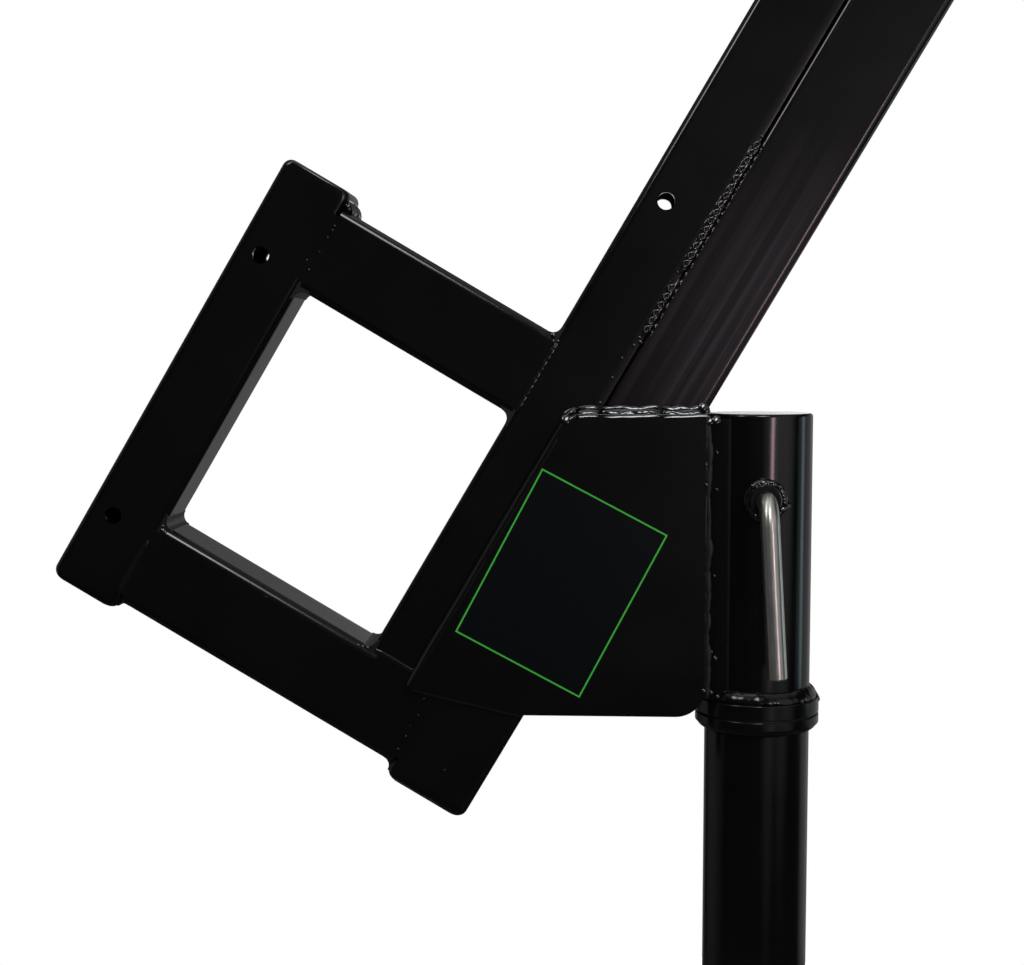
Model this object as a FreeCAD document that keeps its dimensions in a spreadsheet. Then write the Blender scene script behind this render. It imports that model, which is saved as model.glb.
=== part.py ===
import FreeCAD, Part
import math
import os
import re
import Sketcher
from FreeCAD import Placement, Rotation, Vector

# A davit crane: a welded tube boom on a swivel sleeve, carried by a round mast.
# Millimetres, +Z up. The origin is the middle of the mast's foot. The boom leans towards +X,
# its winch frame is at -X, and the lock handle is on the -Y side.
# Positions on the boom are "along" it, upwards, and "across" it, towards the load side.

SIZES = {
    # round mast and the pivot tube inside it
    "pipe_diameter": 88.9,
    "pipe_wall": 5.5,
    "swivel_height": 762.0,
    "foot_plug_thickness": 6.35,
    "collar_width": 8.0,
    "collar_edge": 1.0,
    "collar_seat_step": 0.5,
    "mast_collar_height": 8.0,
    "mast_weld_height": 6.0,
    "washer_thickness": 1.2,
    "washer_inset": 2.0,
    "swivel_clearance": 0.3,
    "pivot_wall": 6.35,
    "pivot_seat": 120.0,
    "pivot_headroom": 20.0,
    "pivot_lead_in": 2.0,
    # swivel sleeve
    "sleeve_height": 254.0,
    "sleeve_cap_thickness": 6.35,
    "sleeve_rim_round": 2.5,
    "sleeve_collar_height": 12.7,
    "sleeve_weld_height": 11.0,
    # lock screw with its bent handle
    "lock_drop": 70.5,
    "rod_diameter": 15.9,
    "rod_end_chamfer": 1.2,
    "thread_clearance": 0.05,
    "boss_diameter": 29.0,
    "boss_height": 12.0,
    "boss_edge": 2.0,
    "boss_weld_width": 5.0,
    "boss_weld_height": 6.0,
    "tip_gap": 0.4,
    "handle_standoff": 16.0,
    "handle_bend": 18.0,
    "handle_drop": 142.6,
    "handle_lean": 3.4,
    # boom tubes and the winch frame
    "boom_angle": 30.5,
    "main_gap": 3.25,
    "main_face": 76.2,
    "main_length": 1651.0,
    "spine_face": 63.5,
    "tube_depth": 63.5,
    "tube_wall": 4.8,
    "tube_corner": 7.0,
    "cap_thickness": 9.5,
    "cap_round": 6.0,
    "window_width": 205.6,
    "window_height": 231.2,
    "frame_drop": 4.3,
    "cross_face": 76.2,
    "rail_face": 63.5,
    "rail_overhang": 11.6,
    "rail_lift": 3.0,
    "hole_diameter": 14.3,
    "rail_hole_pitch": 254.0,
    "rail_hole_inset": 22.3,
    "rail_hole_drop": 5.9,
    "spine_hole_along": 328.0,
    "spine_hole_inset": 21.5,
    # gusset plates
    "plate_thickness": 6.35,
    "plate_edge": 0.8,
    "gusset_lap": 21.0,
    "gusset_foot_rise": 22.0,
    "gusset_foot_run": 203.0,
    "gusset_sleeve_gap": 2.0,
    "gusset_top_round": 12.0,
    "gusset_foot_round": 25.0,
    # weld beads
    "weld_leg": 7.0,
    "gusset_bead_leg": 9.0,
    "bead_toe_angle": 41.0,
    "bead_root_angle": 27.0,
    "stitch_along": 226.0,
    "stitch_length": 182.0,
    "stitch_width": 12.7,
    "stitch_crown": 1.6,
    "stitch_toe": 0.4,
    "stitch_depth": 4.0,
    # boom head
    "head_lap": 130.0,
    "head_low_inset": 15.0,
    "head_shoulder": 30.0,
    "cheek_corner": 40.0,
    "sheave_diameter": 101.6,
    "sheave_width": 22.0,
    "sheave_tip_gap": 11.0,
    "sheave_gap": 31.0,
    "sheave_margin": 16.0,
    "sheave_side_clearance": 0.3,
    "lead_inset": 22.0,
    "groove_depth": 9.0,
    "groove_mouth": 15.0,
    "groove_floor": 5.5,
    "rim_floor": 6.0,
    "web_thickness": 10.0,
    "hub_wall": 8.0,
    "bush_wall": 3.0,
    "axle_diameter": 15.9,
    "axle_clearance": 0.05,
    "hex_flats": 23.8,
    "bolt_head_height": 10.0,
    "nut_height": 14.0,
    "thread_stub": 4.0,
    "washer_diameter": 32.0,
    "plain_washer_thickness": 2.5,
    "spacer_diameter": 25.4,
    "hole_clearance": 0.2,
    "keeper_diameter": 8.0,
    "keeper_gap": 2.0,
    "keeper_head": 3.0,
    "anchor_diameter": 25.4,
    "anchor_reach": 45.0,
    "anchor_drop": 10.0,
    # every cut runs past the faces that it opens by this much
    "cut_overrun": 5.0,
}

doc = FreeCAD.newDocument("davit_crane")
sheet = doc.addObject("Spreadsheet::Sheet", "sizes")
for row, (alias, size) in enumerate(SIZES.items(), start=1):
    sheet.set(f"A{row}", alias)
    sheet.set(f"B{row}", str(size))
    sheet.setAlias(f"B{row}", alias)
doc.recompute()

UP = Vector(0, 0, 1)
DEPTHWAYS = Vector(0, 1, 0)
SIDEWAYS = Vector(1, 0, 0)
QUARTER_TURN = 90
nodes = []

# Shared places, written in the sheet's names
RADIUS = "pipe_diameter/2"
BORE = "(pipe_diameter - 2*pipe_wall)"
PIVOT = f"({BORE} - 2*swivel_clearance)"
COLLAR = "(pipe_diameter + 2*collar_width)"
MAST_TOP = "(swivel_height - washer_thickness)"
COLLAR_FOOT = f"({MAST_TOP} - mast_collar_height)"
COLLAR_SEAT = "(pipe_diameter/2 - collar_seat_step)"
FACE = "tube_depth/2"
PLATE_FACE = "(tube_depth/2 + plate_thickness)"
LOCK = "(swivel_height + sleeve_height - lock_drop)"
MAIN_SIDE = f"(-({RADIUS} + main_gap)*cos(boom_angle) - sleeve_height*sin(boom_angle))"
SEAM = f"({MAIN_SIDE} - main_face)"
SPINE_SIDE = f"({SEAM} - spine_face)"
RAIL_INNER = f"({SPINE_SIDE} - window_width)"
RAIL_OUTER = f"({RAIL_INNER} - rail_face)"
WINDOW_TOP = "(window_height/2 - frame_drop)"
WINDOW_FOOT = "(-window_height/2 - frame_drop)"
BOOM_FOOT = f"({WINDOW_FOOT} - cross_face - rail_overhang)"
BOOM_TOP = f"({BOOM_FOOT} + main_length)"
RAIL_FOOT = f"({BOOM_FOOT} + rail_lift)"
FRAME_LENGTH = "(window_height + 2*cross_face + 2*rail_overhang)"
GUSSET_SIDE = f"({SEAM} - gusset_lap)"
AXLE_ALONG = f"({BOOM_TOP} + sheave_tip_gap + sheave_diameter/2)"
LEAD_ACROSS = f"({SPINE_SIDE} + lead_inset)"
DROP_ACROSS = f"({LEAD_ACROSS} + sheave_diameter + sheave_gap)"


def bind(thing, prop, text):
    """Ties a property to the sheet: each name with an underscore in it is a cell."""
    thing.setExpression(prop, re.sub(r"[a-z]+_[a-z_]+", lambda name: "sizes." + name[0], text))


def new_body(label):
    body = doc.addObject("PartDesign::Body", label)
    body.Label = label
    return body


def keep(thing):
    """Marks a finished piece as one of the part's nodes."""
    nodes.append(thing)
    return thing


def sketch_on(body, role, start="0"):
    sketch = body.newObject("Sketcher::SketchObject", f"{body.Name}_sketch")
    plane = next(feature for feature in body.Origin.OriginFeatures if feature.Role == role)
    sketch.AttachmentSupport = [(plane, "")]
    sketch.MapMode = "FlatFace"
    if start != "0":
        bind(sketch, "AttachmentOffset.Base.z", start)
    return sketch


def pin_point(sketch, line, end, right, up):
    """Holds a sketch point at a distance right of and above the sketch's origin."""
    for kind, text, axis in (("DistanceX", right, -2), ("DistanceY", up, -1)):
        if text == "0":
            sketch.addConstraint(Sketcher.Constraint("PointOnObject", line, end, axis))
            continue
        number = sketch.addConstraint(Sketcher.Constraint(kind, -1, 1, line, end, 1.0))
        bind(sketch, f"Constraints[{number}]", text)


def polygon(sketch, points):
    """Draws a closed outline through points given in the sheet's names."""
    count = len(points)
    turns = [2 * math.pi * i / count for i in range(count)]
    unit = [Vector(math.cos(turn), math.sin(turn), 0) for turn in turns]
    lines = []
    for i in range(count):
        segment = Part.LineSegment(unit[i], unit[(i + 1) % count])
        lines.append(sketch.addGeometry(segment, False))
    for i, (right, up) in enumerate(points):
        sketch.addConstraint(Sketcher.Constraint("Coincident", lines[i - 1], 2, lines[i], 1))
        pin_point(sketch, lines[i], 1, right, up)


def rectangle(sketch, wide, tall):
    """Draws a rectangle about the sketch's origin."""
    right, up = f"({wide})/2", f"({tall})/2"
    polygon(sketch, [(f"-{right}", f"-{up}"), (right, f"-{up}"), (right, up), (f"-{right}", up)])


def circle(sketch, diameter, right="0", up="0"):
    ring = sketch.addGeometry(Part.Circle(Vector(), UP, 1.0), False)
    number = sketch.addConstraint(Sketcher.Constraint("Diameter", ring, 2.0))
    bind(sketch, f"Constraints[{number}]", diameter)
    pin_point(sketch, ring, 3, right, up)


def pad(body, sketch, length, both_ways=False):
    feature = body.newObject("PartDesign::Pad", f"{body.Name}_pad")
    feature.Profile = sketch
    feature.SideType = "Symmetric" if both_ways else "One side"
    bind(feature, "Length", length)
    return feature


def cut_through(body, sketch, length):
    """Cuts a sketch's outline to both sides of its plane, and checks that it took something away."""
    doc.recompute()
    before = body.Shape.Volume
    feature = body.newObject("PartDesign::Pocket", f"{body.Name}_cut")
    feature.Profile = sketch
    feature.SideType = "Symmetric"
    bind(feature, "Length", length)
    doc.recompute()
    if body.Shape.Volume >= before:
        raise RuntimeError(f"{body.Label}: a cut took nothing away")


def spin_up(body, points):
    """Turns an outline of radius and height about the upright axis."""
    sketch = sketch_on(body, "XZ_Plane")
    polygon(sketch, points)
    feature = body.newObject("PartDesign::Revolution", f"{body.Name}_turning")
    feature.Profile = sketch
    feature.ReferenceAxis = (sketch, ["V_Axis"])
    return feature


def soften(body, size, wanted, kind="Fillet"):
    """Rounds or chamfers the edges that the test picks out."""
    doc.recompute()
    base = body.Tip
    edges = [f"Edge{i}" for i, edge in enumerate(base.Shape.Edges, start=1) if wanted(edge)]
    feature = body.newObject(f"PartDesign::{kind}", f"{body.Name}_{kind.lower()}")
    feature.Base = (base, edges)
    bind(feature, "Radius" if kind == "Fillet" else "Size", size)
    doc.recompute()
    return feature


def runs_along(edge, direction):
    """Says whether an edge is a straight line along a direction."""
    if edge.Curve.TypeId != "Part::GeomLine":
        return False
    return abs(abs(edge.Curve.Direction.dot(direction)) - 1) < 1e-6


def lies_at(edge, direction, height):
    """Says whether a whole edge lies in the plane at a height along a direction."""
    box = edge.BoundBox
    low = Vector(box.XMin, box.YMin, box.ZMin).dot(direction)
    high = Vector(box.XMax, box.YMax, box.ZMax).dot(direction)
    return max(abs(low - height), abs(high - height)) < 1e-4


def top_of(body):
    doc.recompute()
    return body.Tip.Shape.BoundBox.ZMax


def upright(thing, height, right="0"):
    """Stands a piece on the mast's axis, or beside it in the boom's plane."""
    bind(thing, "Placement.Base.x", right)
    bind(thing, "Placement.Base.z", height)
    return thing


def on_boom(thing, along, across):
    """Places a piece drawn with its Z along the boom and its X across it."""
    thing.Placement = Placement(Vector(), Rotation(DEPTHWAYS, SIZES["boom_angle"]))
    bind(thing, "Placement.Rotation.Angle", "boom_angle")
    bind(thing, "Placement.Base.x", f"({along})*sin(boom_angle) + ({across})*cos(boom_angle)")
    bind(thing, "Placement.Base.z",
         f"swivel_height + ({along})*cos(boom_angle) - ({across})*sin(boom_angle)")
    return thing


def through_boom(thing, along, across, depth="0"):
    """Places a turned piece with its axis through the boom's depth, its top to the front."""
    thing.Placement = Placement(Vector(), Rotation(SIDEWAYS, QUARTER_TURN))
    bind(thing, "Placement.Base.x", f"({along})*sin(boom_angle) + ({across})*cos(boom_angle)")
    bind(thing, "Placement.Base.y", depth)
    bind(thing, "Placement.Base.z",
         f"swivel_height + ({along})*cos(boom_angle) - ({across})*sin(boom_angle)")
    return thing


def mirrored(thing):
    """Makes the same piece on the other face of the boom."""
    twin = doc.addObject("Part::Mirroring", f"{thing.Name}_back")
    twin.Source = thing
    twin.Normal = DEPTHWAYS
    return twin


def group(label, things):
    """Gathers like pieces, each its own solid, into one node."""
    gathered = doc.addObject("Part::Compound", label)
    gathered.Label = label
    gathered.Links = things
    return keep(gathered)


def ring(label, outer, inner, height, thickness, edge=None):
    """Makes a flat ring that stands on a height; its rims are broken where an edge is given."""
    body = new_body(label)
    sketch = sketch_on(body, "XY_Plane")
    circle(sketch, outer)
    if inner:
        circle(sketch, inner)
    pad(body, sketch, thickness)
    if edge:
        doc.recompute()
        reach = body.Shape.BoundBox.XMax
        soften(body, edge, lambda e: abs(e.BoundBox.XMax - reach) < 1e-4 and e.BoundBox.ZLength < 1e-6)
    return keep(upright(body, height))


def turned(label, points, height):
    """A piece turned about the mast's axis, from an outline of radius and height."""
    body = new_body(label)
    spin_up(body, points)
    return keep(upright(body, height))


def mast():
    turned("mast_tube", [
        (f"{BORE}/2", "0"),
        (RADIUS, "0"),
        (RADIUS, f"{COLLAR_FOOT} - mast_weld_height"),
        (COLLAR_SEAT, f"{COLLAR_FOOT} - mast_weld_height"),
        (COLLAR_SEAT, MAST_TOP),
        (f"{BORE}/2", MAST_TOP),
    ], "0")
    ring("mast_foot_plug", BORE, None, "0", "foot_plug_thickness")
    ring("mast_collar", COLLAR, f"2*{COLLAR_SEAT}", COLLAR_FOOT, "mast_collar_height", "collar_edge")
    ring("thrust_washer", f"{COLLAR} - 2*washer_inset", f"{PIVOT} + 2*swivel_clearance",
         MAST_TOP, "washer_thickness")
    turned("mast_collar_weld", [
        (COLLAR_SEAT, "-mast_weld_height"),
        (RADIUS, "-mast_weld_height"),
        (f"{RADIUS} + collar_width - collar_edge", "0"),
        (COLLAR_SEAT, "0"),
    ], COLLAR_FOOT)
    pivot = new_body("pivot_tube")
    sketch = sketch_on(pivot, "XY_Plane")
    circle(sketch, PIVOT)
    circle(sketch, f"{PIVOT} - 2*pivot_wall")
    pad(pivot, sketch, "pivot_seat + washer_thickness + sleeve_height - sleeve_cap_thickness - pivot_headroom")
    top = top_of(pivot)
    reach = pivot.Shape.BoundBox.XMax
    soften(pivot, "pivot_lead_in",
           lambda e: lies_at(e, UP, top) and abs(e.BoundBox.XMax - reach) < 1e-4, "Chamfer")
    keep(upright(pivot, f"{MAST_TOP} - pivot_seat"))


def swivel():
    sleeve = new_body("swivel_sleeve")
    sketch = sketch_on(sleeve, "XY_Plane")
    circle(sketch, "pipe_diameter")
    circle(sketch, BORE)
    pad(sleeve, sketch, "sleeve_height - sleeve_cap_thickness")
    hole = sketch_on(sleeve, "XZ_Plane", RADIUS)
    circle(hole, "rod_diameter + 2*thread_clearance", "0", "sleeve_height - lock_drop")
    cut_through(sleeve, hole, RADIUS)
    keep(upright(sleeve, "swivel_height"))
    cap = new_body("sleeve_cap")
    sketch = sketch_on(cap, "XY_Plane")
    circle(sketch, "pipe_diameter")
    pad(cap, sketch, "sleeve_cap_thickness")
    top = top_of(cap)
    soften(cap, "sleeve_rim_round", lambda e: lies_at(e, UP, top))
    keep(upright(cap, "swivel_height + sleeve_height - sleeve_cap_thickness"))
    ring("sleeve_collar", COLLAR, "pipe_diameter", "swivel_height", "sleeve_collar_height",
         "collar_edge")
    turned("sleeve_collar_weld", [
        (RADIUS, "0"),
        (f"{RADIUS} + collar_width - collar_edge", "0"),
        (RADIUS, "sleeve_weld_height"),
    ], "swivel_height + sleeve_collar_height")


def cut_round_sleeve(body, tall):
    """Takes the sleeve's outside away, so that a piece saddles it."""
    sketch = sketch_on(body, "XY_Plane")
    circle(sketch, "pipe_diameter")
    cut_through(body, sketch, tall)


def lock():
    boss = new_body("lock_boss")
    sketch = sketch_on(boss, "XZ_Plane")
    circle(sketch, "boss_diameter")
    circle(sketch, "rod_diameter + 2*thread_clearance")
    pad(boss, sketch, f"{RADIUS} + boss_height")
    cut_round_sleeve(boss, "2*boss_diameter")
    front = -boss.Tip.Shape.BoundBox.YMin
    reach = boss.Tip.Shape.BoundBox.XMax
    soften(boss, "boss_edge",
           lambda e: lies_at(e, DEPTHWAYS, -front) and abs(e.BoundBox.XMax - reach) < 1e-4)
    keep(upright(boss, LOCK))

    bead = new_body("lock_boss_weld")
    sketch = sketch_on(bead, "XY_Plane")
    inner, outer = "boss_diameter/2", "(boss_diameter/2 + boss_weld_width)"
    polygon(sketch, [
        (inner, "0"),
        (outer, "0"),
        (outer, f"-{RADIUS}"),
        (inner, f"-{RADIUS} - boss_weld_height"),
    ])
    feature = bead.newObject("PartDesign::Revolution", "lock_boss_weld_turning")
    feature.Profile = sketch
    feature.ReferenceAxis = (sketch, ["V_Axis"])
    cut_round_sleeve(bead, "4*boss_diameter")
    keep(upright(bead, LOCK))

    screw = new_body("lock_screw")
    tip = f"(-{PIVOT}/2 - tip_gap)"
    leg = f"(-{RADIUS} - boss_height - handle_standoff - rod_diameter/2)"
    path = sketch_on(screw, "YZ_Plane")
    shank = path.addGeometry(Part.LineSegment(Vector(-1, 0, 0), Vector(-2, 0, 0)), False)
    arc = Part.ArcOfCircle(Part.Circle(Vector(-2, -1, 0), UP, 1.0), math.pi / 2, math.pi)
    bend = path.addGeometry(arc, False)
    handle = path.addGeometry(Part.LineSegment(Vector(-3, -1, 0), Vector(-3, -2, 0)), False)
    pin_point(path, shank, 1, tip, "0")
    path.addConstraint(Sketcher.Constraint("Horizontal", shank))
    path.addConstraint(Sketcher.Constraint("Vertical", handle))
    path.addConstraint(Sketcher.Constraint("Tangent", shank, 2, bend, 1))
    path.addConstraint(Sketcher.Constraint("Tangent", bend, 2, handle, 1))
    number = path.addConstraint(Sketcher.Constraint("Radius", bend, 1.0))
    bind(path, f"Constraints[{number}]", "handle_bend")
    pin_point(path, handle, 2, leg, "-handle_drop")
    section = sketch_on(screw, "XZ_Plane", f"-{tip}")
    circle(section, "rod_diameter")
    rod = screw.newObject("PartDesign::AdditivePipe", "lock_screw_rod")
    rod.Profile = section
    rod.Spine = (path, [])
    doc.recompute()
    tip_plane = rod.Shape.BoundBox.YMax
    end_plane = rod.Shape.BoundBox.ZMin
    soften(screw, "rod_end_chamfer",
           lambda e: lies_at(e, DEPTHWAYS, tip_plane) or lies_at(e, UP, end_plane), "Chamfer")
    screw.Placement = Placement(Vector(), Rotation(DEPTHWAYS, -SIZES["handle_lean"]))
    bind(screw, "Placement.Rotation.Angle", "-handle_lean")
    keep(upright(screw, LOCK))


def square_tube(label, wide, length, holes=()):
    """A rounded hollow tube that stands on its own foot; holes are right and up its front face."""
    body = new_body(label)
    sketch = sketch_on(body, "XY_Plane")
    rectangle(sketch, wide, "tube_depth")
    rectangle(sketch, f"{wide} - 2*tube_wall", "tube_depth - 2*tube_wall")
    pad(body, sketch, length)
    doc.recompute()
    reach = body.Shape.BoundBox.XMax

    def is_outer(edge):
        return runs_along(edge, UP) and abs(abs(edge.BoundBox.XMax) - reach) < 1e-4

    soften(body, "tube_corner", is_outer)

    def off_axis(edge):
        return math.hypot(edge.CenterOfMass.x, edge.CenterOfMass.y)

    nearest = min(off_axis(edge) for edge in body.Tip.Shape.Edges if runs_along(edge, UP))

    def is_inner(edge):
        return runs_along(edge, UP) and off_axis(edge) - nearest < 1e-4

    soften(body, "tube_corner - tube_wall", is_inner)
    for right, up in holes:
        sketch = sketch_on(body, "XZ_Plane")
        circle(sketch, "hole_diameter", right, up)
        cut_through(body, sketch, "tube_depth + cut_overrun")
    return body


def tube_cap(label, wide, along, across, downwards=False):
    """A welded end cap, dressed round at its rim; along is the tube's end that it sits on."""
    body = new_body(label)
    sketch = sketch_on(body, "XY_Plane")
    rectangle(sketch, wide, "tube_depth")
    pad(body, sketch, "cap_thickness").Reversed = downwards
    soften(body, "tube_corner", lambda e: runs_along(e, UP))
    box = body.Tip.Shape.BoundBox
    rim = box.ZMin if downwards else box.ZMax
    soften(body, "cap_round", lambda e: lies_at(e, UP, rim))
    return keep(on_boom(body, along, across))


def frame():
    main_mid = f"{MAIN_SIDE} - main_face/2"
    main = square_tube("main_tube", "main_face", "main_length - 2*cap_thickness")
    keep(on_boom(main, f"{BOOM_FOOT} + cap_thickness", main_mid))
    tube_cap("main_bottom_cap", "main_face", f"{BOOM_FOOT} + cap_thickness", main_mid, True)
    tube_cap("main_top_cap", "main_face", f"{BOOM_TOP} - cap_thickness", main_mid)

    spine_mid = f"{SEAM} - spine_face/2"
    hole = ("spine_hole_inset - spine_face/2", f"spine_hole_along - {WINDOW_FOOT}")
    spine = square_tube("spine_tube", "spine_face", f"{BOOM_TOP} - {WINDOW_FOOT} - cap_thickness", [hole])
    keep(on_boom(spine, WINDOW_FOOT, spine_mid))
    tube_cap("spine_top_cap", "spine_face", f"{BOOM_TOP} - cap_thickness", spine_mid)

    rail_mid = f"{RAIL_INNER} - rail_face/2"
    middle = f"{FRAME_LENGTH}/2 - cap_thickness - rail_hole_drop"
    inset = "rail_hole_inset - rail_face/2"
    holes = [(inset, f"{middle} + rail_hole_pitch/2"), (inset, f"{middle} - rail_hole_pitch/2")]
    rail = square_tube("rear_rail", "rail_face", f"{FRAME_LENGTH} - 2*cap_thickness", holes)
    keep(on_boom(rail, f"{RAIL_FOOT} + cap_thickness", rail_mid))
    tube_cap("rail_bottom_cap", "rail_face", f"{RAIL_FOOT} + cap_thickness", rail_mid, True)
    tube_cap("rail_top_cap", "rail_face", f"{RAIL_FOOT} + {FRAME_LENGTH} - cap_thickness", rail_mid)

    for label, foot, far_side in (
        ("upper_cross_tube", WINDOW_TOP, SPINE_SIDE),
        ("lower_cross_tube", f"{WINDOW_FOOT} - cross_face", SEAM),
    ):
        tube = square_tube(label, "cross_face", f"{far_side} - {RAIL_INNER}")
        keep(across_boom(tube, f"{foot} + cross_face/2", RAIL_INNER))


def across_boom(thing, along, across):
    """Places a tube that runs across the boom, from a place towards the load side."""
    on_boom(thing, along, across)
    thing.Placement.Rotation = Rotation(DEPTHWAYS, SIZES["boom_angle"] + QUARTER_TURN)
    bind(thing, "Placement.Rotation.Angle", f"boom_angle + {QUARTER_TURN}")
    return thing


def plate(label, points, rounds, holes=()):
    """A flat plate on the boom's front face; rounds pairs a corner's number with its radius."""
    body = new_body(label)
    sketch = sketch_on(body, "XZ_Plane", FACE)
    polygon(sketch, points)
    pad(body, sketch, "plate_thickness")
    doc.recompute()
    spots = [sketch.getPoint(number, 1) for number in range(len(points))]
    for number, radius in rounds:
        spot = spots[number]
        soften(body, radius, lambda e: runs_along(e, DEPTHWAYS)
               and math.hypot(e.CenterOfMass.x - spot.x, e.CenterOfMass.z - spot.y) < 1e-4)
    front = body.Tip.Shape.BoundBox.YMin
    soften(body, "plate_edge", lambda e: lies_at(e, DEPTHWAYS, front))
    for diameter, right, up in holes:
        sketch = sketch_on(body, "XZ_Plane", FACE)
        circle(sketch, diameter, right, up)
        cut_through(body, sketch, "2*plate_thickness + cut_overrun")
    return body


def both_faces(front_label, back_label, body):
    """Keeps a front plate and its twin on the back."""
    body.Label = front_label
    keep(body)
    twin = mirrored(body)
    twin.Label = back_label
    keep(twin)


def slant(height, across):
    """The distance right of the mast at which a line along the boom reaches a height."""
    return f"(({across}) + ({height})*sin(boom_angle))/cos(boom_angle)"


def along_at(height, across):
    """The place along the boom at which a line along it reaches a height."""
    return f"(({height}) + ({across})*sin(boom_angle))/cos(boom_angle)"


GUSSET_EDGE = f"(-{RADIUS} - gusset_sleeve_gap)"


def gussets():
    gusset = plate("front_gusset", [
        (slant("sleeve_height", GUSSET_SIDE), "sleeve_height"),
        (GUSSET_EDGE, "sleeve_height"),
        (GUSSET_EDGE, "0"),
        ("-gusset_foot_run", "0"),
        (slant("gusset_foot_rise", GUSSET_SIDE), "gusset_foot_rise"),
    ], [(0, "gusset_top_round"), (2, "gusset_foot_round")])
    both_faces("front_gusset", "back_gusset", upright(gusset, "swivel_height"))


def gusset_welds():
    top = new_body("gusset_top_bead")
    sketch = sketch_on(top, "YZ_Plane")
    polygon(sketch, [
        (f"-{PLATE_FACE}", "0"),
        (f"-{FACE}", "0"),
        (f"-{FACE}", "gusset_bead_leg"),
    ])
    start = f"({slant('sleeve_height', GUSSET_SIDE)} + gusset_top_round)"
    pad(top, sketch, f"{GUSSET_EDGE} - {start}")
    upright(top, "swivel_height + sleeve_height", start)
    group("gusset_top_welds", [top, mirrored(top)])

    side = new_body("gusset_side_bead")
    sketch = sketch_on(side, "XY_Plane")
    polygon(sketch, [
        ("0", f"-{PLATE_FACE}"),
        ("0", f"-{FACE}"),
        ("-weld_leg", f"-{FACE}"),
    ])
    low = along_at("gusset_foot_rise", GUSSET_SIDE)
    high = f"({along_at('sleeve_height', GUSSET_SIDE)} - gusset_top_round)"
    pad(side, sketch, f"{high} - {low}")
    on_boom(side, low, GUSSET_SIDE)
    group("gusset_side_welds", [side, mirrored(side)])

    joint = new_body("gusset_sleeve_bead")
    sketch = sketch_on(joint, "XY_Plane")
    polygon(sketch, [
        (GUSSET_EDGE, f"-{PLATE_FACE}"),
        (f"-{RADIUS}*cos(bead_toe_angle)", f"-{RADIUS}*sin(bead_toe_angle)"),
        (f"-{RADIUS}*cos(bead_root_angle)", f"-{RADIUS}*sin(bead_root_angle)"),
        (GUSSET_EDGE, f"-{FACE}"),
    ])
    pad(joint, sketch, "sleeve_height - gusset_foot_round - sleeve_cap_thickness")
    cut_round_sleeve(joint, "2*sleeve_height")
    upright(joint, "swivel_height + gusset_foot_round")
    group("gusset_sleeve_welds", [joint, mirrored(joint)])


def corner_bead(label, along, across, up, side, length="tube_depth - 2*tube_corner"):
    """A fillet weld through the depth of an inside corner, reaching up or down and to one side."""
    body = new_body(label)
    sketch = sketch_on(body, "XZ_Plane")
    polygon(sketch, [("0", "0"), (f"{side}*weld_leg", "0"), ("0", f"{up}*weld_leg")])
    pad(body, sketch, length, both_ways=True)
    return on_boom(body, along, across)


def flare_bead(label, side, length):
    """Weld metal that fills the hollow beside a tube's rounded corner, flush with the front face."""
    body = new_body(label)
    sketch = sketch_on(body, "XY_Plane")
    reach = f"{side}*tube_corner"
    inner = f"-{FACE} + tube_corner"
    polygon(sketch, [("0", f"-{FACE}"), (reach, f"-{FACE}"), (reach, inner), ("0", inner)])
    pad(body, sketch, length)
    sketch = sketch_on(body, "XY_Plane")
    circle(sketch, "2*tube_corner", reach, inner)
    cut_through(body, sketch, f"2*({length}) + cut_overrun")
    return body


def frame_welds():
    upper_top = f"({WINDOW_TOP} + cross_face)"
    lower_foot = f"({WINDOW_FOOT} - cross_face)"
    corners = [
        (upper_top, RAIL_INNER, 1, 1),
        (upper_top, SPINE_SIDE, 1, -1),
        (WINDOW_TOP, RAIL_INNER, -1, 1),
        (WINDOW_TOP, SPINE_SIDE, -1, -1),
        (WINDOW_FOOT, RAIL_INNER, 1, 1),
        (WINDOW_FOOT, SPINE_SIDE, 1, -1),
        (lower_foot, RAIL_INNER, -1, 1),
        (lower_foot, SEAM, -1, -1),
    ]
    beads = [corner_bead(f"corner_bead_{i}", *corner) for i, corner in enumerate(corners)]
    group("frame_corner_welds", beads)

    flat = "cross_face - 2*tube_corner"
    joints = [
        (WINDOW_TOP, RAIL_INNER, -1),
        (WINDOW_TOP, SPINE_SIDE, 1),
        (lower_foot, RAIL_INNER, -1),
        (lower_foot, SEAM, 1),
    ]
    beads = []
    for i, (foot, across, side) in enumerate(joints):
        bead = on_boom(flare_bead(f"flush_bead_{i}", side, flat), f"{foot} + tube_corner", across)
        beads += [bead, mirrored(bead)]
    # the spine's foot stands on the lower cross tube's rounded edge
    foot = flare_bead("spine_foot_bead", 1, "spine_face - 2*tube_corner")
    across_boom(foot, WINDOW_FOOT, f"{SPINE_SIDE} + tube_corner")
    group("frame_flush_welds", beads + [foot, mirrored(foot)])

    stitch = new_body("stitch_bead")
    sketch = sketch_on(stitch, "XY_Plane")
    crown = f"-{FACE} - stitch_crown"
    polygon(sketch, [
        ("-stitch_width/2", f"-{FACE} + stitch_depth"),
        ("-stitch_width/2", f"-{FACE} + stitch_toe"),
        ("-stitch_width/4", crown),
        ("stitch_width/4", crown),
        ("stitch_width/2", f"-{FACE} + stitch_toe"),
        ("stitch_width/2", f"-{FACE} + stitch_depth"),
    ])
    pad(stitch, sketch, "stitch_length")
    for side in (1, -1):
        sketch = sketch_on(stitch, "XY_Plane")
        circle(sketch, "2*tube_corner", f"{side}*tube_corner", f"-{FACE} + tube_corner")
        cut_through(stitch, sketch, "2*stitch_length + cut_overrun")
    on_boom(stitch, "stitch_along", SEAM)
    group("stitch_welds", [stitch, mirrored(stitch)])


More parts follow.
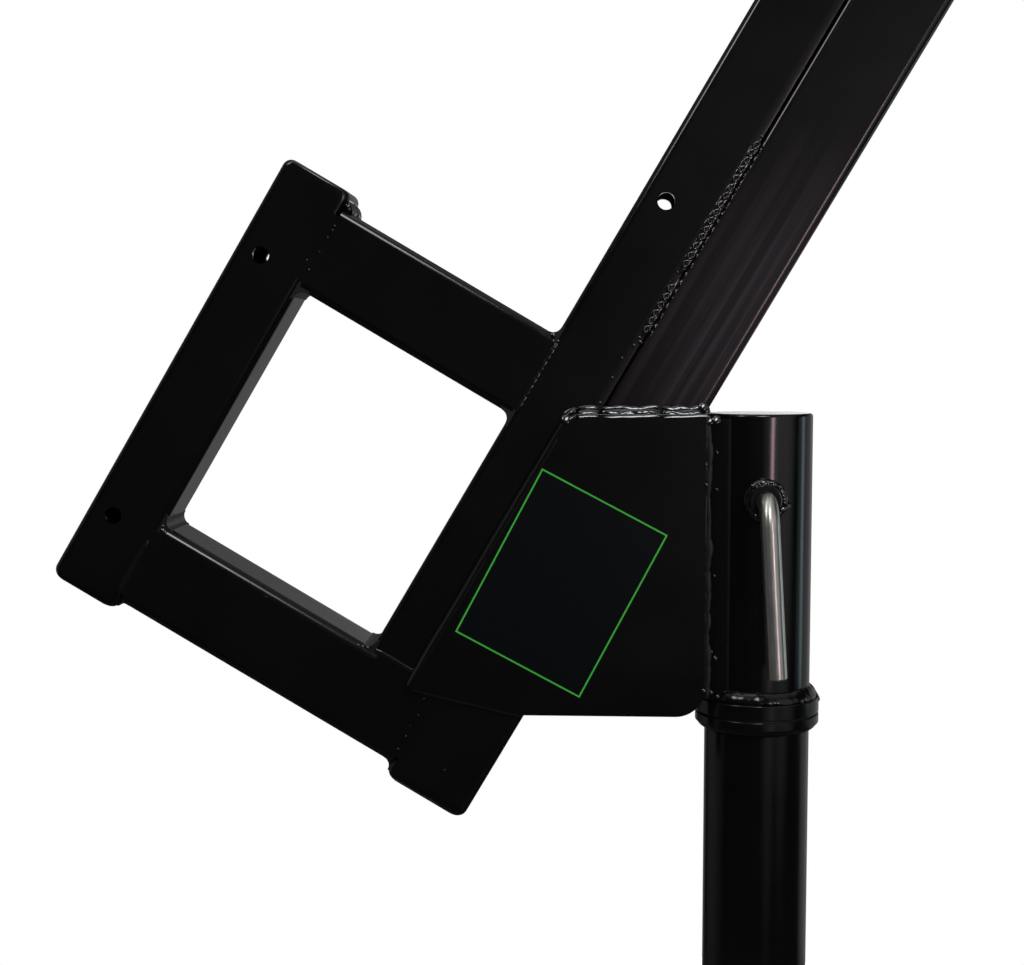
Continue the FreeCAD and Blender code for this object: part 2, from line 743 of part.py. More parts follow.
CHEEK_HIGH = f"({AXLE_ALONG} + sheave_diameter/2 + sheave_margin)"
CHEEK_LOW = f"({BOOM_TOP} - head_lap)"
CHEEK_NEAR = f"({LEAD_ACROSS} - sheave_diameter/2 - sheave_margin)"
CHEEK_FAR = f"({DROP_ACROSS} + sheave_diameter/2 + sheave_margin)"
ANCHOR_ALONG = f"({BOOM_TOP} - anchor_drop)"
ANCHOR_ACROSS = f"({MAIN_SIDE} + anchor_reach)"
KEEPER_REACH = "(sheave_diameter/2 + keeper_gap + keeper_diameter/2)"
KEEPERS = [
    (f"{AXLE_ALONG} + {KEEPER_REACH}", LEAD_ACROSS),
    (AXLE_ALONG, f"{DROP_ACROSS} + {KEEPER_REACH}"),
]
AXLES = [("lead", LEAD_ACROSS), ("drop", DROP_ACROSS)]


def head_plates():
    holes = [("axle_diameter + 2*hole_clearance", across, AXLE_ALONG) for _, across in AXLES]
    holes += [("keeper_diameter", across, along) for along, across in KEEPERS]
    holes.append(("anchor_diameter", ANCHOR_ACROSS, ANCHOR_ALONG))
    cheek = plate("front_cheek", [
        (f"{SPINE_SIDE} + head_low_inset", CHEEK_LOW),
        (f"{MAIN_SIDE} - head_low_inset", CHEEK_LOW),
        (CHEEK_FAR, f"{BOOM_TOP} - head_shoulder"),
        (CHEEK_FAR, CHEEK_HIGH),
        (CHEEK_NEAR, CHEEK_HIGH),
        (CHEEK_NEAR, f"{BOOM_TOP} + head_shoulder"),
    ], [(0, "gusset_top_round"), (1, "gusset_top_round"), (2, "gusset_foot_round"),
        (3, "cheek_corner"), (4, "cheek_corner"), (5, "gusset_foot_round")], holes)
    both_faces("front_cheek", "back_cheek", on_boom(cheek, "0", "0"))

    bead = new_body("head_bead")
    sketch = sketch_on(bead, "YZ_Plane")
    polygon(sketch, [
        (f"-{PLATE_FACE}", "0"),
        (f"-{FACE}", "0"),
        (f"-{FACE}", "-weld_leg"),
    ])
    span = "head_low_inset + gusset_top_round"
    pad(bead, sketch, f"main_face + spine_face - 2*({span})")
    on_boom(bead, CHEEK_LOW, f"{SPINE_SIDE} + {span}")
    group("head_welds", [bead, mirrored(bead)])


def hexagon(sketch):
    """Draws the outline of a bolt's head or a nut."""
    turns = [f"{60 * i}" for i in range(6)]
    polygon(sketch, [(f"hex_flats/sqrt(3)*cos({turn})", f"hex_flats/sqrt(3)*sin({turn})")
                     for turn in turns])


def axle_bolt(label, across):
    """A bolt through both cheeks, its head at the front."""
    body = new_body(label)
    sketch = sketch_on(body, "XY_Plane")
    circle(sketch, "axle_diameter")
    pad(body, sketch, f"2*{PLATE_FACE} + 2*plain_washer_thickness + nut_height + thread_stub").Reversed = True
    sketch = sketch_on(body, "XY_Plane")
    hexagon(sketch)
    pad(body, sketch, "bolt_head_height")
    return through_boom(body, AXLE_ALONG, across, f"-{PLATE_FACE} - plain_washer_thickness")


def axle_nut(label, across):
    body = new_body(label)
    sketch = sketch_on(body, "XY_Plane")
    hexagon(sketch)
    circle(sketch, "axle_diameter")
    pad(body, sketch, "nut_height")
    return through_boom(body, AXLE_ALONG, across,
                        f"{PLATE_FACE} + plain_washer_thickness + nut_height")


def axle_ring(label, across, outer, thickness, depth):
    """A washer or spacer on an axle, from a depth towards the front."""
    body = new_body(label)
    sketch = sketch_on(body, "XY_Plane")
    circle(sketch, outer)
    circle(sketch, "axle_diameter + 2*hole_clearance")
    pad(body, sketch, thickness)
    return through_boom(body, AXLE_ALONG, across, depth)


def keeper(label, along, across):
    """A headed pin across the cheeks that keeps the rope in its groove."""
    body = new_body(label)
    spin_up(body, [
        ("0", f"-{PLATE_FACE} - keeper_head"),
        ("keeper_diameter", f"-{PLATE_FACE} - keeper_head"),
        ("keeper_diameter", f"-{PLATE_FACE}"),
        ("keeper_diameter/2", f"-{PLATE_FACE}"),
        ("keeper_diameter/2", PLATE_FACE),
        ("keeper_diameter", PLATE_FACE),
        ("keeper_diameter", f"{PLATE_FACE} + keeper_head"),
        ("0", f"{PLATE_FACE} + keeper_head"),
    ])
    return through_boom(body, along, across)


def head_fasteners():
    bolts, nuts, washers, spacers = [], [], [], []
    spacer = "(tube_depth/2 - sheave_width/2 - sheave_side_clearance)"
    for name, across in AXLES:
        bolts.append(axle_bolt(f"{name}_bolt", across))
        nuts.append(axle_nut(f"{name}_nut", across))
        for side, depth in (("front", f"-{PLATE_FACE}"), ("back", f"{PLATE_FACE} + plain_washer_thickness")):
            washers.append(axle_ring(f"{name}_washer_{side}", across, "washer_diameter",
                                     "plain_washer_thickness", depth))
        for side, depth in (("front", f"{spacer} - {FACE}"), ("back", FACE)):
            spacers.append(axle_ring(f"{name}_spacer_{side}", across, "spacer_diameter", spacer, depth))
    group("axle_bolts", bolts)
    group("axle_nuts", nuts)
    group("axle_washers", washers)
    group("axle_spacers", spacers)
    group("rope_keepers", [keeper(f"keeper_{i}", *place) for i, place in enumerate(KEEPERS)])


def sheaves():
    bush_inner = "axle_diameter/2 + axle_clearance"
    bush_outer = f"({bush_inner} + bush_wall)"
    hub = f"({bush_outer} + hub_wall)"
    floor = "(sheave_diameter/2 - groove_depth)"
    half = [
        (bush_outer, "sheave_width/2"),
        (hub, "sheave_width/2"),
        (hub, "web_thickness/2"),
        (f"{floor} - rim_floor", "web_thickness/2"),
        (f"{floor} - rim_floor", "sheave_width/2"),
        ("sheave_diameter/2", "sheave_width/2"),
        ("sheave_diameter/2", "groove_mouth/2"),
        (floor, "groove_floor/2"),
    ]
    whole = half + [(radius, f"-{height}") for radius, height in reversed(half)]
    for name, across in AXLES:
        sheave = new_body(f"{name}_sheave")
        spin_up(sheave, whole)
        keep(through_boom(sheave, AXLE_ALONG, across))
        bush = new_body(f"{name}_bush")
        sketch = sketch_on(bush, "XY_Plane")
        circle(sketch, f"2*{bush_outer}")
        circle(sketch, f"2*({bush_inner})")
        pad(bush, sketch, "sheave_width", both_ways=True)
        keep(through_boom(bush, AXLE_ALONG, across))


mast()
swivel()
lock()
frame()
gussets()
gusset_welds()
frame_welds()
head_plates()
head_fasteners()
sheaves()

doc.recompute()
for thing in doc.Objects:
    if "Invalid" in thing.State or "Error" in thing.State:
        raise RuntimeError(f"{thing.Label} did not build: {thing.State}")
for node in nodes:
    if node.Shape.isNull() or not node.Shape.isValid() or not node.Shape.Solids:
        raise RuntimeError(f"{node.Label} has no sound solid")

os.makedirs("parts", exist_ok=True)
for node in nodes:
    node.Shape.exportStep(f"parts/{node.Label}.step")
    print(f"{node.Label}: {len(node.Shape.Solids)} solid(s), {node.Shape.Volume / 1000:.1f} cm3")
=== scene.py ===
import math
import random
import bmesh
import bpy
from mathutils import Matrix, Vector


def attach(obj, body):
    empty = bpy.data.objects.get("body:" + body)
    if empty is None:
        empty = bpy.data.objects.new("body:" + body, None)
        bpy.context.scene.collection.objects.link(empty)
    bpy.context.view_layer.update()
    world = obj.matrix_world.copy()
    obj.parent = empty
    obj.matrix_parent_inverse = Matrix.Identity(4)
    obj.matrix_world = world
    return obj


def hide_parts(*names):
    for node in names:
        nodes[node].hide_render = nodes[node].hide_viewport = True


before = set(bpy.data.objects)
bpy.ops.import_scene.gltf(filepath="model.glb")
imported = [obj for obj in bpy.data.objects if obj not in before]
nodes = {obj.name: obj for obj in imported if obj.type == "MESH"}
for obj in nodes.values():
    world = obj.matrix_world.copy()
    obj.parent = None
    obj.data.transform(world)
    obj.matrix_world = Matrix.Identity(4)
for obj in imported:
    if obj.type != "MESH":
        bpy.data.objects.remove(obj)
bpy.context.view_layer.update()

# Sizes of the crane's own pieces, in metres, as the solids have them.
MM = 0.001
BOOM_ANGLE = math.radians(30.5)
ALONG = Vector((math.sin(BOOM_ANGLE), 0, math.cos(BOOM_ANGLE)))
ACROSS = Vector((math.cos(BOOM_ANGLE), 0, -math.sin(BOOM_ANGLE)))
UP = Vector((0, 0, 1))
BACK = Vector((0, 1, 0))
SWIVEL = 762 * MM
PIPE_RADIUS = 44.45 * MM
SLEEVE_HEIGHT = 254 * MM
FACE = 31.75 * MM
PLATE = 6.35 * MM
MAIN_SIDE = -170.01 * MM
SEAM = MAIN_SIDE - 76.2 * MM
SPINE_SIDE = SEAM - 63.5 * MM
RAIL_INNER = SPINE_SIDE - 205.6 * MM
WINDOW_TOP = 111.3 * MM
WINDOW_FOOT = -119.9 * MM
CROSS_FACE = 76.2 * MM
MAIN_FACE = 76.2 * MM
RAIL_FACE = 63.5 * MM
TUBE_CORNER = 7 * MM
CAP = 9.5 * MM
BOOM_FOOT = WINDOW_FOOT - CROSS_FACE - 11.6 * MM
BOOM_TOP = BOOM_FOOT + 1651 * MM
RAIL_FOOT = BOOM_FOOT + 3 * MM
RAIL_TOP = RAIL_FOOT + 406.8 * MM
GUSSET_SIDE = SEAM - 21 * MM
GUSSET_FOOT_RISE = 22 * MM
GUSSET_FOOT_RUN = 203 * MM
LOCK_HEIGHT = SWIVEL + 183.5 * MM
BOSS_RADIUS = 14.5 * MM
AXLE_ALONG = BOOM_TOP + 61.8 * MM
LEAD_ACROSS = SPINE_SIDE + 22 * MM
DROP_ACROSS = LEAD_ACROSS + 132.6 * MM


def on_boom(along, across, depth=0.0):
    """A place on the boom, from the middle of the swivel."""
    return Vector((0, depth, SWIVEL)) + ALONG * along + ACROSS * across


# Materials

def linear(code):
    """An sRGB hex colour as the linear one that shaders take."""
    parts = [int(code[i:i + 2], 16) / 255 for i in (1, 3, 5)]
    return tuple(c / 12.92 if c <= 0.04045 else ((c + 0.055) / 1.055) ** 2.4 for c in parts) + (1.0,)


def grain(millimetres):
    """The texture scale that puts a pattern's features this far apart."""
    return 1 / (millimetres * MM)


def add(owner, kind, links=None, **settings):
    """Adds a node, with its settings, and its inputs as numbers, colours or links."""
    node = owner.node_tree.nodes.new(f"ShaderNode{kind}")
    for name, value in settings.items():
        setattr(node, name, value)
    for socket, value in (links or {}).items():
        if isinstance(value, bpy.types.NodeSocket):
            owner.node_tree.links.new(value, node.inputs[socket])
        else:
            node.inputs[socket].default_value = value
    return node


def new_material(name):
    """A material with an empty node tree."""
    material = bpy.data.materials.new(name)
    material.use_nodes = True
    material.node_tree.nodes.clear()
    return material


def surface(material, **inputs):
    """Ends a material in one shader; an underscore in an input's name stands for a space."""
    shader = add(material, "BsdfPrincipled", {k.replace("_", " "): v for k, v in inputs.items()})
    add(material, "OutputMaterial", {"Surface": shader.outputs[0]})
    return material


def paint_sheen_streaks(material, place, tone):
    """A painted sheen: paler, rose-grey streaks along the lower boom, mixed into a coat's tone to stand
    in for a soft reflection on the tube's face.
    """
    turned = add(material, "Mapping", {"Vector": place, "Rotation": (0, -BOOM_ANGLE, 0),
                                       "Location": (SWIVEL * math.sin(BOOM_ANGLE), 0,
                                                    -SWIVEL * math.cos(BOOM_ANGLE))})
    parts = add(material, "SeparateXYZ", {0: turned.outputs[0]})
    drawn = add(material, "Mapping", {"Vector": turned.outputs[0], "Scale": (1, 1, 0.012)})
    streaks = add(material, "TexNoise", {"Vector": drawn.outputs[0], "Scale": grain(7), "Detail": 3.0})
    streak = add(material, "MapRange", {"Value": streaks.outputs[0], "From Min": 0.4, "From Max": 0.62,
                                        "To Min": 0.3, "To Max": 1.1})
    across = add(material, "MapRange", {"Value": parts.outputs["X"], "From Min": SEAM,
                                        "From Max": MAIN_SIDE - 12 * MM, "To Min": 0.25, "To Max": 1.0})
    begins, full, fades, gone = (along * MM for along in (60, 245, 330, 450))
    rise = add(material, "MapRange", {"Value": parts.outputs["Z"], "From Min": begins,
                                      "From Max": full, "To Min": 0.0, "To Max": 1.0})
    fall = add(material, "MapRange", {"Value": parts.outputs["Z"], "From Min": fades,
                                      "From Max": gone, "To Min": 0.8, "To Max": 0.03})
    spread = add(material, "Math", {0: across.outputs[0], 1: rise.outputs[0]}, operation="MULTIPLY")
    spread = add(material, "Math", {0: spread.outputs[0], 1: fall.outputs[0]}, operation="MULTIPLY")
    sheen_share = add(material, "Math", {0: spread.outputs[0], 1: streak.outputs[0]}, operation="MULTIPLY")
    # painted sheen: a paler rose-grey is mixed into the colour where the streak mask is high
    return add(material, "Mix", {0: sheen_share.outputs[0], 6: tone, 7: linear("#332c31")},
               data_type="RGBA").outputs[2]


def powder_coat(name, darkest, lightest, smooth, rough, with_painted_sheen=False, ior=1.5):
    """Black polyester powder melted on steel: a deep gloss skin, with a fine orange peel, soft sags and
    a few nibs of dust under it, and a shine that is a little uneven from place to place."""
    material = new_material(name)
    place = add(material, "TexCoord").outputs["Object"]
    skin = 0.05 * MM
    peel = add(material, "TexNoise", {"Vector": place, "Scale": grain(2.4), "Detail": 1.0})
    sag = add(material, "TexNoise", {"Vector": place, "Scale": grain(26), "Detail": 2.0})
    nib = add(material, "TexVoronoi", {"Vector": place, "Scale": grain(34)})
    speck = add(material, "MapRange", {"Value": nib.outputs["Distance"], "From Min": 0.0,
                                       "From Max": 0.03, "To Min": 1.0, "To Max": 0.0})
    bump = add(material, "Bump", {"Height": peel.outputs[0], "Strength": 0.12, "Distance": skin})
    bump = add(material, "Bump", {"Height": sag.outputs[0], "Strength": 0.25, "Distance": 6 * skin,
                                  "Normal": bump.outputs[0]})
    bump = add(material, "Bump", {"Height": speck.outputs[0], "Strength": 0.5, "Distance": 3 * skin,
                                  "Normal": bump.outputs[0]})
    cloud = add(material, "TexNoise", {"Vector": place, "Scale": grain(70), "Detail": 3.0})
    gloss = add(material, "MapRange", {"Value": cloud.outputs[0], "From Min": 0.3, "From Max": 0.7,
                                       "To Min": smooth, "To Max": rough})
    tone = add(material, "Mix", {0: cloud.outputs[0], 6: linear(darkest), 7: linear(lightest)},
               data_type="RGBA").outputs[2]
    # optionally a painted sheen: paler streaks in the colour that stand in for a reflection
    if with_painted_sheen:
        tone = paint_sheen_streaks(material, place, tone)
    return surface(material, Base_Color=tone, Roughness=gloss.outputs[0], IOR=ior, Normal=bump.outputs[0])


def bright_metal(name, darkest, lightest, smooth, rough, line_mm, stretch, centre=None, relief=0.15,
                 drawn_out=0.0):
    """Bare or plated metal: drawn lines along Z, or turned rings about a centre in the boom's plane."""
    material = new_material(name)
    place = add(material, "TexCoord").outputs["Object"]
    if centre:
        moved = add(material, "Mapping", {"Vector": place, "Location": -centre, "Scale": (1, 0, 1)})
        radius = add(material, "VectorMath", {0: moved.outputs[0]}, operation="LENGTH")
        lines = add(material, "TexNoise", {"W": radius.outputs["Value"], "Scale": grain(line_mm),
                                           "Detail": 2.0}, noise_dimensions="1D")
    else:
        drawn = add(material, "Mapping", {"Vector": place, "Scale": stretch})
        lines = add(material, "TexNoise", {"Vector": drawn.outputs[0], "Scale": grain(line_mm),
                                           "Detail": 3.0})
    stain = add(material, "TexNoise", {"Vector": place, "Scale": grain(12), "Detail": 3.0})
    tone = add(material, "Mix", {0: stain.outputs[0], 6: linear(darkest), 7: linear(lightest)},
               data_type="RGBA")
    gloss = add(material, "MapRange", {"Value": lines.outputs[0], "From Min": 0.3, "From Max": 0.7,
                                       "To Min": smooth, "To Max": rough})
    bump = add(material, "Bump", {"Height": lines.outputs[0], "Strength": relief, "Distance": 0.05 * MM})
    ring = add(material, "Tangent", direction_type="RADIAL", axis="Z")
    return surface(material, Base_Color=tone.outputs[2], Metallic=1.0, Roughness=gloss.outputs[0],
                   Anisotropic=drawn_out, Anisotropic_Rotation=0.25, Tangent=ring.outputs[0],
                   Normal=bump.outputs[0])


def moulded(name, colour, roughness, speck_mm):
    """Plastic sheet or film: one colour with a fine even tooth that breaks up its shine."""
    material = new_material(name)
    place = add(material, "TexCoord").outputs["Object"]
    tooth = add(material, "TexNoise", {"Vector": place, "Scale": grain(speck_mm), "Detail": 2.0})
    gloss = add(material, "MapRange", {"Value": tooth.outputs[0], "To Min": roughness - 0.06,
                                       "To Max": roughness + 0.06})
    bump = add(material, "Bump", {"Height": tooth.outputs[0], "Strength": 0.1, "Distance": 0.04 * MM})
    return surface(material, Base_Color=linear(colour), Roughness=gloss.outputs[0], IOR=1.46,
                   Normal=bump.outputs[0])


# polyester powder melted smooth: deep black, with sharp, slightly wavy reflections
coat = powder_coat("gloss_black_powder_coat", "#030304", "#060607", 0.12, 0.19)
# the same coat with a painted sheen: paler rose-grey streaks along the lower boom stand in for a soft
# reflection
tube_coat = powder_coat("black_powder_coat_with_painted_sheen", "#050405", "#080708", 0.12, 0.19, with_painted_sheen=True)
# the coat where it pooled thick over a bead: wet, with bright glints
weld_coat = powder_coat("wet_black_coat_on_weld", "#030304", "#060607", 0.1, 0.17, ior=1.9)
# the coat where it lies thin on ground weld metal: a soft sheen and no glints
dull_coat = powder_coat("thin_black_coat_on_ground_weld", "#030304", "#050506", 0.42, 0.55)
# drawn stainless rod: pale, its highlights spread by the fine lines along it
stainless = bright_metal("drawn_stainless_rod", "#c8c6c0", "#e0ded8", 0.3, 0.4, 0.9,
                         (1, 1, 0.03), relief=0.08, drawn_out=0.75)
# bright zinc plate: cool grey, a little mottled
zinc = bright_metal("bright_zinc_plate", "#9fa3a6", "#c3c4bf", 0.28, 0.42, 0.6, (1, 1, 1))
# drawn steel tube under oil: dark grey, with a low shine along it
oiled_steel = bright_metal("oiled_steel_tube", "#5f5d58", "#7d7a74", 0.32, 0.45, 0.8, (1, 1, 0.05))
# bronze that holds oil: brown and dull
bronze = bright_metal("oiled_bronze", "#8a5b2c", "#a97a44", 0.35, 0.5, 0.5, (1, 1, 1))
# machined acetal: matt, a shade paler than the coat
acetal = moulded("black_acetal", "#141415", 0.45, 0.8)
# vinyl film: smooth, nearly black, with a blue cast
label_film = moulded("black_vinyl_film", "#04070a", 0.18, 0.6)
# printed ink: flat green
label_ink = moulded("green_printed_line", "#2f9a2c", 0.34, 0.6)
# turned steel: fine rings about each sheave's own axle
sheave_metal = {
    name: bright_metal(f"turned_steel_{name}", "#8d8e8c", "#adaca6", 0.25, 0.42, 0.5, None,
                       on_boom(AXLE_ALONG, across))
    for name, across in (("lead", LEAD_ACROSS), ("drop", DROP_ACROSS))
}

node_finish = {
    "main_tube": tube_coat, "pivot_tube": oiled_steel, "thrust_washer": acetal, "lock_screw": stainless,
    "axle_bolts": zinc, "axle_nuts": zinc, "axle_washers": zinc, "axle_spacers": zinc,
    "rope_keepers": zinc, "lead_bush": bronze, "drop_bush": bronze,
    "lead_sheave": sheave_metal["lead"], "drop_sheave": sheave_metal["drop"],
}
for name, node in nodes.items():
    node.data.materials.clear()
    node.data.materials.append(node_finish.get(name, coat))


# Weld beads

# how many sides a bead has, how many stations a ripple has, and the angle past which an edge stays sharp
SIDES = 12
STEPS = 6
SHARP = math.radians(60)
BOTH_FACES = (-1, 1)
FILL_LEG = 8 * MM


def finish_piece(name, mesh, body, finishes, replaced=()):
    """Turns a bmesh into a piece that rides a body and stands for the solids it replaces."""
    bmesh.ops.recalc_face_normals(mesh, faces=mesh.faces)
    for face in mesh.faces:
        face.smooth = True
    for edge in mesh.edges:
        edge.smooth = edge.calc_face_angle(0.0) < SHARP
    data = bpy.data.meshes.new(name)
    mesh.to_mesh(data)
    mesh.free()
    for finish in finishes:
        data.materials.append(finish)
    piece = bpy.data.objects.new(name, data)
    bpy.context.scene.collection.objects.link(piece)
    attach(piece, body)
    if replaced:
        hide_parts(*replaced)


def straight(start, end, out, pitch):
    """Stations along a straight weld, a few to each ripple."""
    run = end - start
    count = max(2, round(run.length / pitch)) * STEPS
    return [(start + run * i / count, run.normalized(), out) for i in range(count + 1)]


def lay_bead(mesh, stations, wide, tall, pitch, seed, ripple=0.16, bow=0.4, uneven=0.09, stray=0.08,
             closed=False, blunt=0.35):
    """Sweeps a round bead along its stations. Each ripple is a frozen puddle: it swells, sags behind
    its middle, and differs a little in size and place from the next."""
    chance = random.Random(seed)
    puddles = len(stations) // STEPS + 2
    swell = [chance.uniform(1 - uneven, 1 + uneven) for _ in range(puddles)]
    wander = [chance.uniform(-stray, stray) for _ in range(puddles)]
    if closed:
        stations = stations[:-1]
        swell[-2:] = wander[-2:] = swell[:2]
    rings = []
    last = len(stations) - 1
    previous = None
    for i, (place, along, out) in enumerate(stations):
        puddle, step = divmod(i, STEPS)
        phase = step / STEPS
        size = swell[puddle] + (swell[puddle + 1] - swell[puddle]) * phase
        size *= 1 - ripple * (2 * phase - 1) ** 2
        if not closed:
            end = min(i, last - i) / STEPS
            size *= blunt + (1 - blunt) * min(1, end) ** 0.5
        side = along.cross(out).normalized()
        drift = wander[puddle] + (wander[puddle + 1] - wander[puddle]) * phase
        turn = Matrix((side * wide * size, out * tall * size, along * pitch)).transposed().to_4x4()
        station = Matrix.Translation(place + side * wide * drift) @ turn
        if previous is None:
            ring = bmesh.ops.create_circle(mesh, segments=SIDES, radius=1.0)["verts"]
            for vert in ring:
                vert.co.z = -bow * (1 - vert.co.x ** 2)
            bmesh.ops.transform(mesh, matrix=station, verts=ring)
            edges = list(dict.fromkeys(e for v in ring for e in v.link_edges))
        else:
            made = bmesh.ops.extrude_edge_only(mesh, edges=edges)["geom"]
            ring = [g for g in made if isinstance(g, bmesh.types.BMVert)]
            edges = [g for g in made if isinstance(g, bmesh.types.BMEdge)
                     and all(v in ring for v in g.verts)]
            bmesh.ops.transform(mesh, matrix=station @ previous.inverted(), verts=ring)
        previous = station
        if i in (0, last):
            rings.append(edges)
    if closed:
        bmesh.ops.bridge_loops(mesh, edges=rings[0] + rings[1])
    else:
        for edges in rings:
            bmesh.ops.contextual_create(mesh, geom=edges)


def drop_spatter(mesh, place, out, size, rise=0.7):
    """A bead of spatter or a restart lump, set a third into the steel."""
    turn = out.to_track_quat("Z", "Y").to_matrix().to_4x4()
    squat = Matrix.Diagonal((size, size, rise * size, 1))
    seat = Matrix.Translation(place + out * size * 0.15)
    bmesh.ops.create_icosphere(mesh, subdivisions=2, radius=1.0, matrix=seat @ turn @ squat)


def corner_fill(mesh, seed, along, across, up, side, room):
    """Weld metal in an inside corner of the winch frame, dressed hollow, with soft swells through its
    depth. It stops short of the front, by more where little of the tube runs on past the corner."""
    chance = random.Random(seed)
    leg = min(FILL_LEG, room - 4 * MM)
    run = min(leg + TUBE_CORNER, room - 3 * MM)
    set_back = 1.5 * MM if room == CROSS_FACE else 5.5 * MM
    depth = FACE - set_back
    outline = [(-TUBE_CORNER, -TUBE_CORNER), (FILL_LEG + TUBE_CORNER, -TUBE_CORNER), (FILL_LEG, 0),
               (0, 0), (0, leg), (-TUBE_CORNER, run)]
    corner = [mesh.verts.new(on_boom(along + up * v, across + side * u, -depth)) for u, v in outline]
    mesh.faces.new(corner)
    foot, inside = corner[0], corner[3]
    bmesh.ops.bevel(mesh, geom=[inside], offset=0.98 * leg, offset_type="OFFSET", segments=6,
                    profile=0.5, affect="VERTICES", material=-1)
    face = foot.link_faces[0]
    middle = on_boom(along, across)
    hollow = (ALONG * up + ACROSS * side).normalized()
    steps, uneven, skin_edge = 9, 0.15 * MM, 0.2 * MM
    swell = 0.0
    for _ in range(steps):
        made = bmesh.ops.extrude_face_region(mesh, geom=[face])["geom"]
        face = next(g for g in made if isinstance(g, bmesh.types.BMFace))
        bmesh.ops.translate(mesh, vec=BACK * 2 * depth / steps, verts=face.verts)
        lift = chance.uniform(-uneven, uneven)
        skin = [v for v in face.verts if side * (v.co - middle).dot(ACROSS) > skin_edge
                and up * (v.co - middle).dot(ALONG) > skin_edge]
        bmesh.ops.translate(mesh, vec=hollow * (lift - swell), verts=skin)
        swell = lift


def weld_piece(name, body, beads, drops=(), fills=(), replaced=True, finish=None):
    """One piece for each weld node: corner fills ground dull, beads, and any glossy lumps on them."""
    mesh = bmesh.new()
    finishes = []
    for shine, lay, things in ((dull_coat, corner_fill, fills), (finish or weld_coat, lay_bead, beads),
                               (weld_coat, drop_spatter, drops)):
        before = set(mesh.faces)
        for thing in things:
            if isinstance(thing, dict):
                lay(mesh, **thing)
            else:
                lay(mesh, *thing)
        for face in set(mesh.faces) - before:
            face.material_index = len(finishes)
        if things:
            finishes.append(shine)
    piece_name = name.replace("welds", "beads").replace("weld", "bead")
    finish_piece(piece_name, mesh, body, finishes, [name] if replaced else ())


def round_axis(radius, height, outward, upward, pitch):
    """Stations of a weld that runs right round the mast's axis."""
    count = round(2 * math.pi * radius / pitch) * STEPS
    stations = []
    for i in range(count + 1):
        turn = 2 * math.pi * i / count
        radial = Vector((math.cos(turn), math.sin(turn), 0))
        out = (radial * outward + UP * upward).normalized()
        stations.append((radial * radius + UP * height, UP.cross(radial), out))
    return stations


def collar_weld(name, body, foot, top, tall, pitch, seed):
    """A bead in the corner between a collar and its pipe; foot and top are radius and height."""
    slope = Vector((top[0] - foot[0], top[1] - foot[1]))
    side = 1 if slope.y > 0 else -1
    normal = Vector((slope.y, -slope.x)).normalized() * side
    middle = (Vector(foot) + Vector(top)) / 2 - normal * tall * 0.55
    stations = round_axis(middle.x, middle.y, normal.x, normal.y, pitch)
    bead = dict(stations=stations, wide=slope.length * 0.52, tall=tall, pitch=pitch, seed=seed,
                ripple=0.07, uneven=0.1, stray=0.1, closed=True)
    weld_piece(name, body, [bead], finish=coat)


COLLAR_EDGE = PIPE_RADIUS + 7 * MM
SLEEVE_COLLAR_TOP = SWIVEL + 12.7 * MM
MAST_COLLAR_FOOT = SWIVEL - 9.2 * MM
collar_weld("sleeve_collar_weld", "boom", (COLLAR_EDGE, SLEEVE_COLLAR_TOP),
            (PIPE_RADIUS, SLEEVE_COLLAR_TOP + 11 * MM), 2.6 * MM, 9 * MM, 11)
collar_weld("mast_collar_weld", "mast", (COLLAR_EDGE, MAST_COLLAR_FOOT),
            (PIPE_RADIUS, MAST_COLLAR_FOOT - 6 * MM), 2.2 * MM, 8 * MM, 12)

STITCH_PITCH = 8.2 * MM
STITCH_LINE = SEAM - 2 * MM
# along the boom: the stitch's two runs, the stop between them, and where its puddles and its toe lie
STITCH_RUNS = ((224 * MM, 280 * MM), (284 * MM, 408 * MM))
STITCH_STOP = (276 * MM, 287 * MM)
STITCH_PUDDLES = (230 * MM, 404 * MM)
STITCH_TOE = (226 * MM, 402 * MM)


def loop(middle, along, out, reach, width):
    """Stations round a small ellipse that lies on a surface."""
    side = along.cross(out)
    count = 3 * STEPS
    stations = []
    for i in range(count + 1):
        turn = 2 * math.pi * i / count
        place = middle + along * reach * math.cos(turn) + side * width * math.sin(turn)
        ahead = side * width * math.cos(turn) - along * reach * math.sin(turn)
        stations.append((place, ahead.normalized(), out))
    return stations


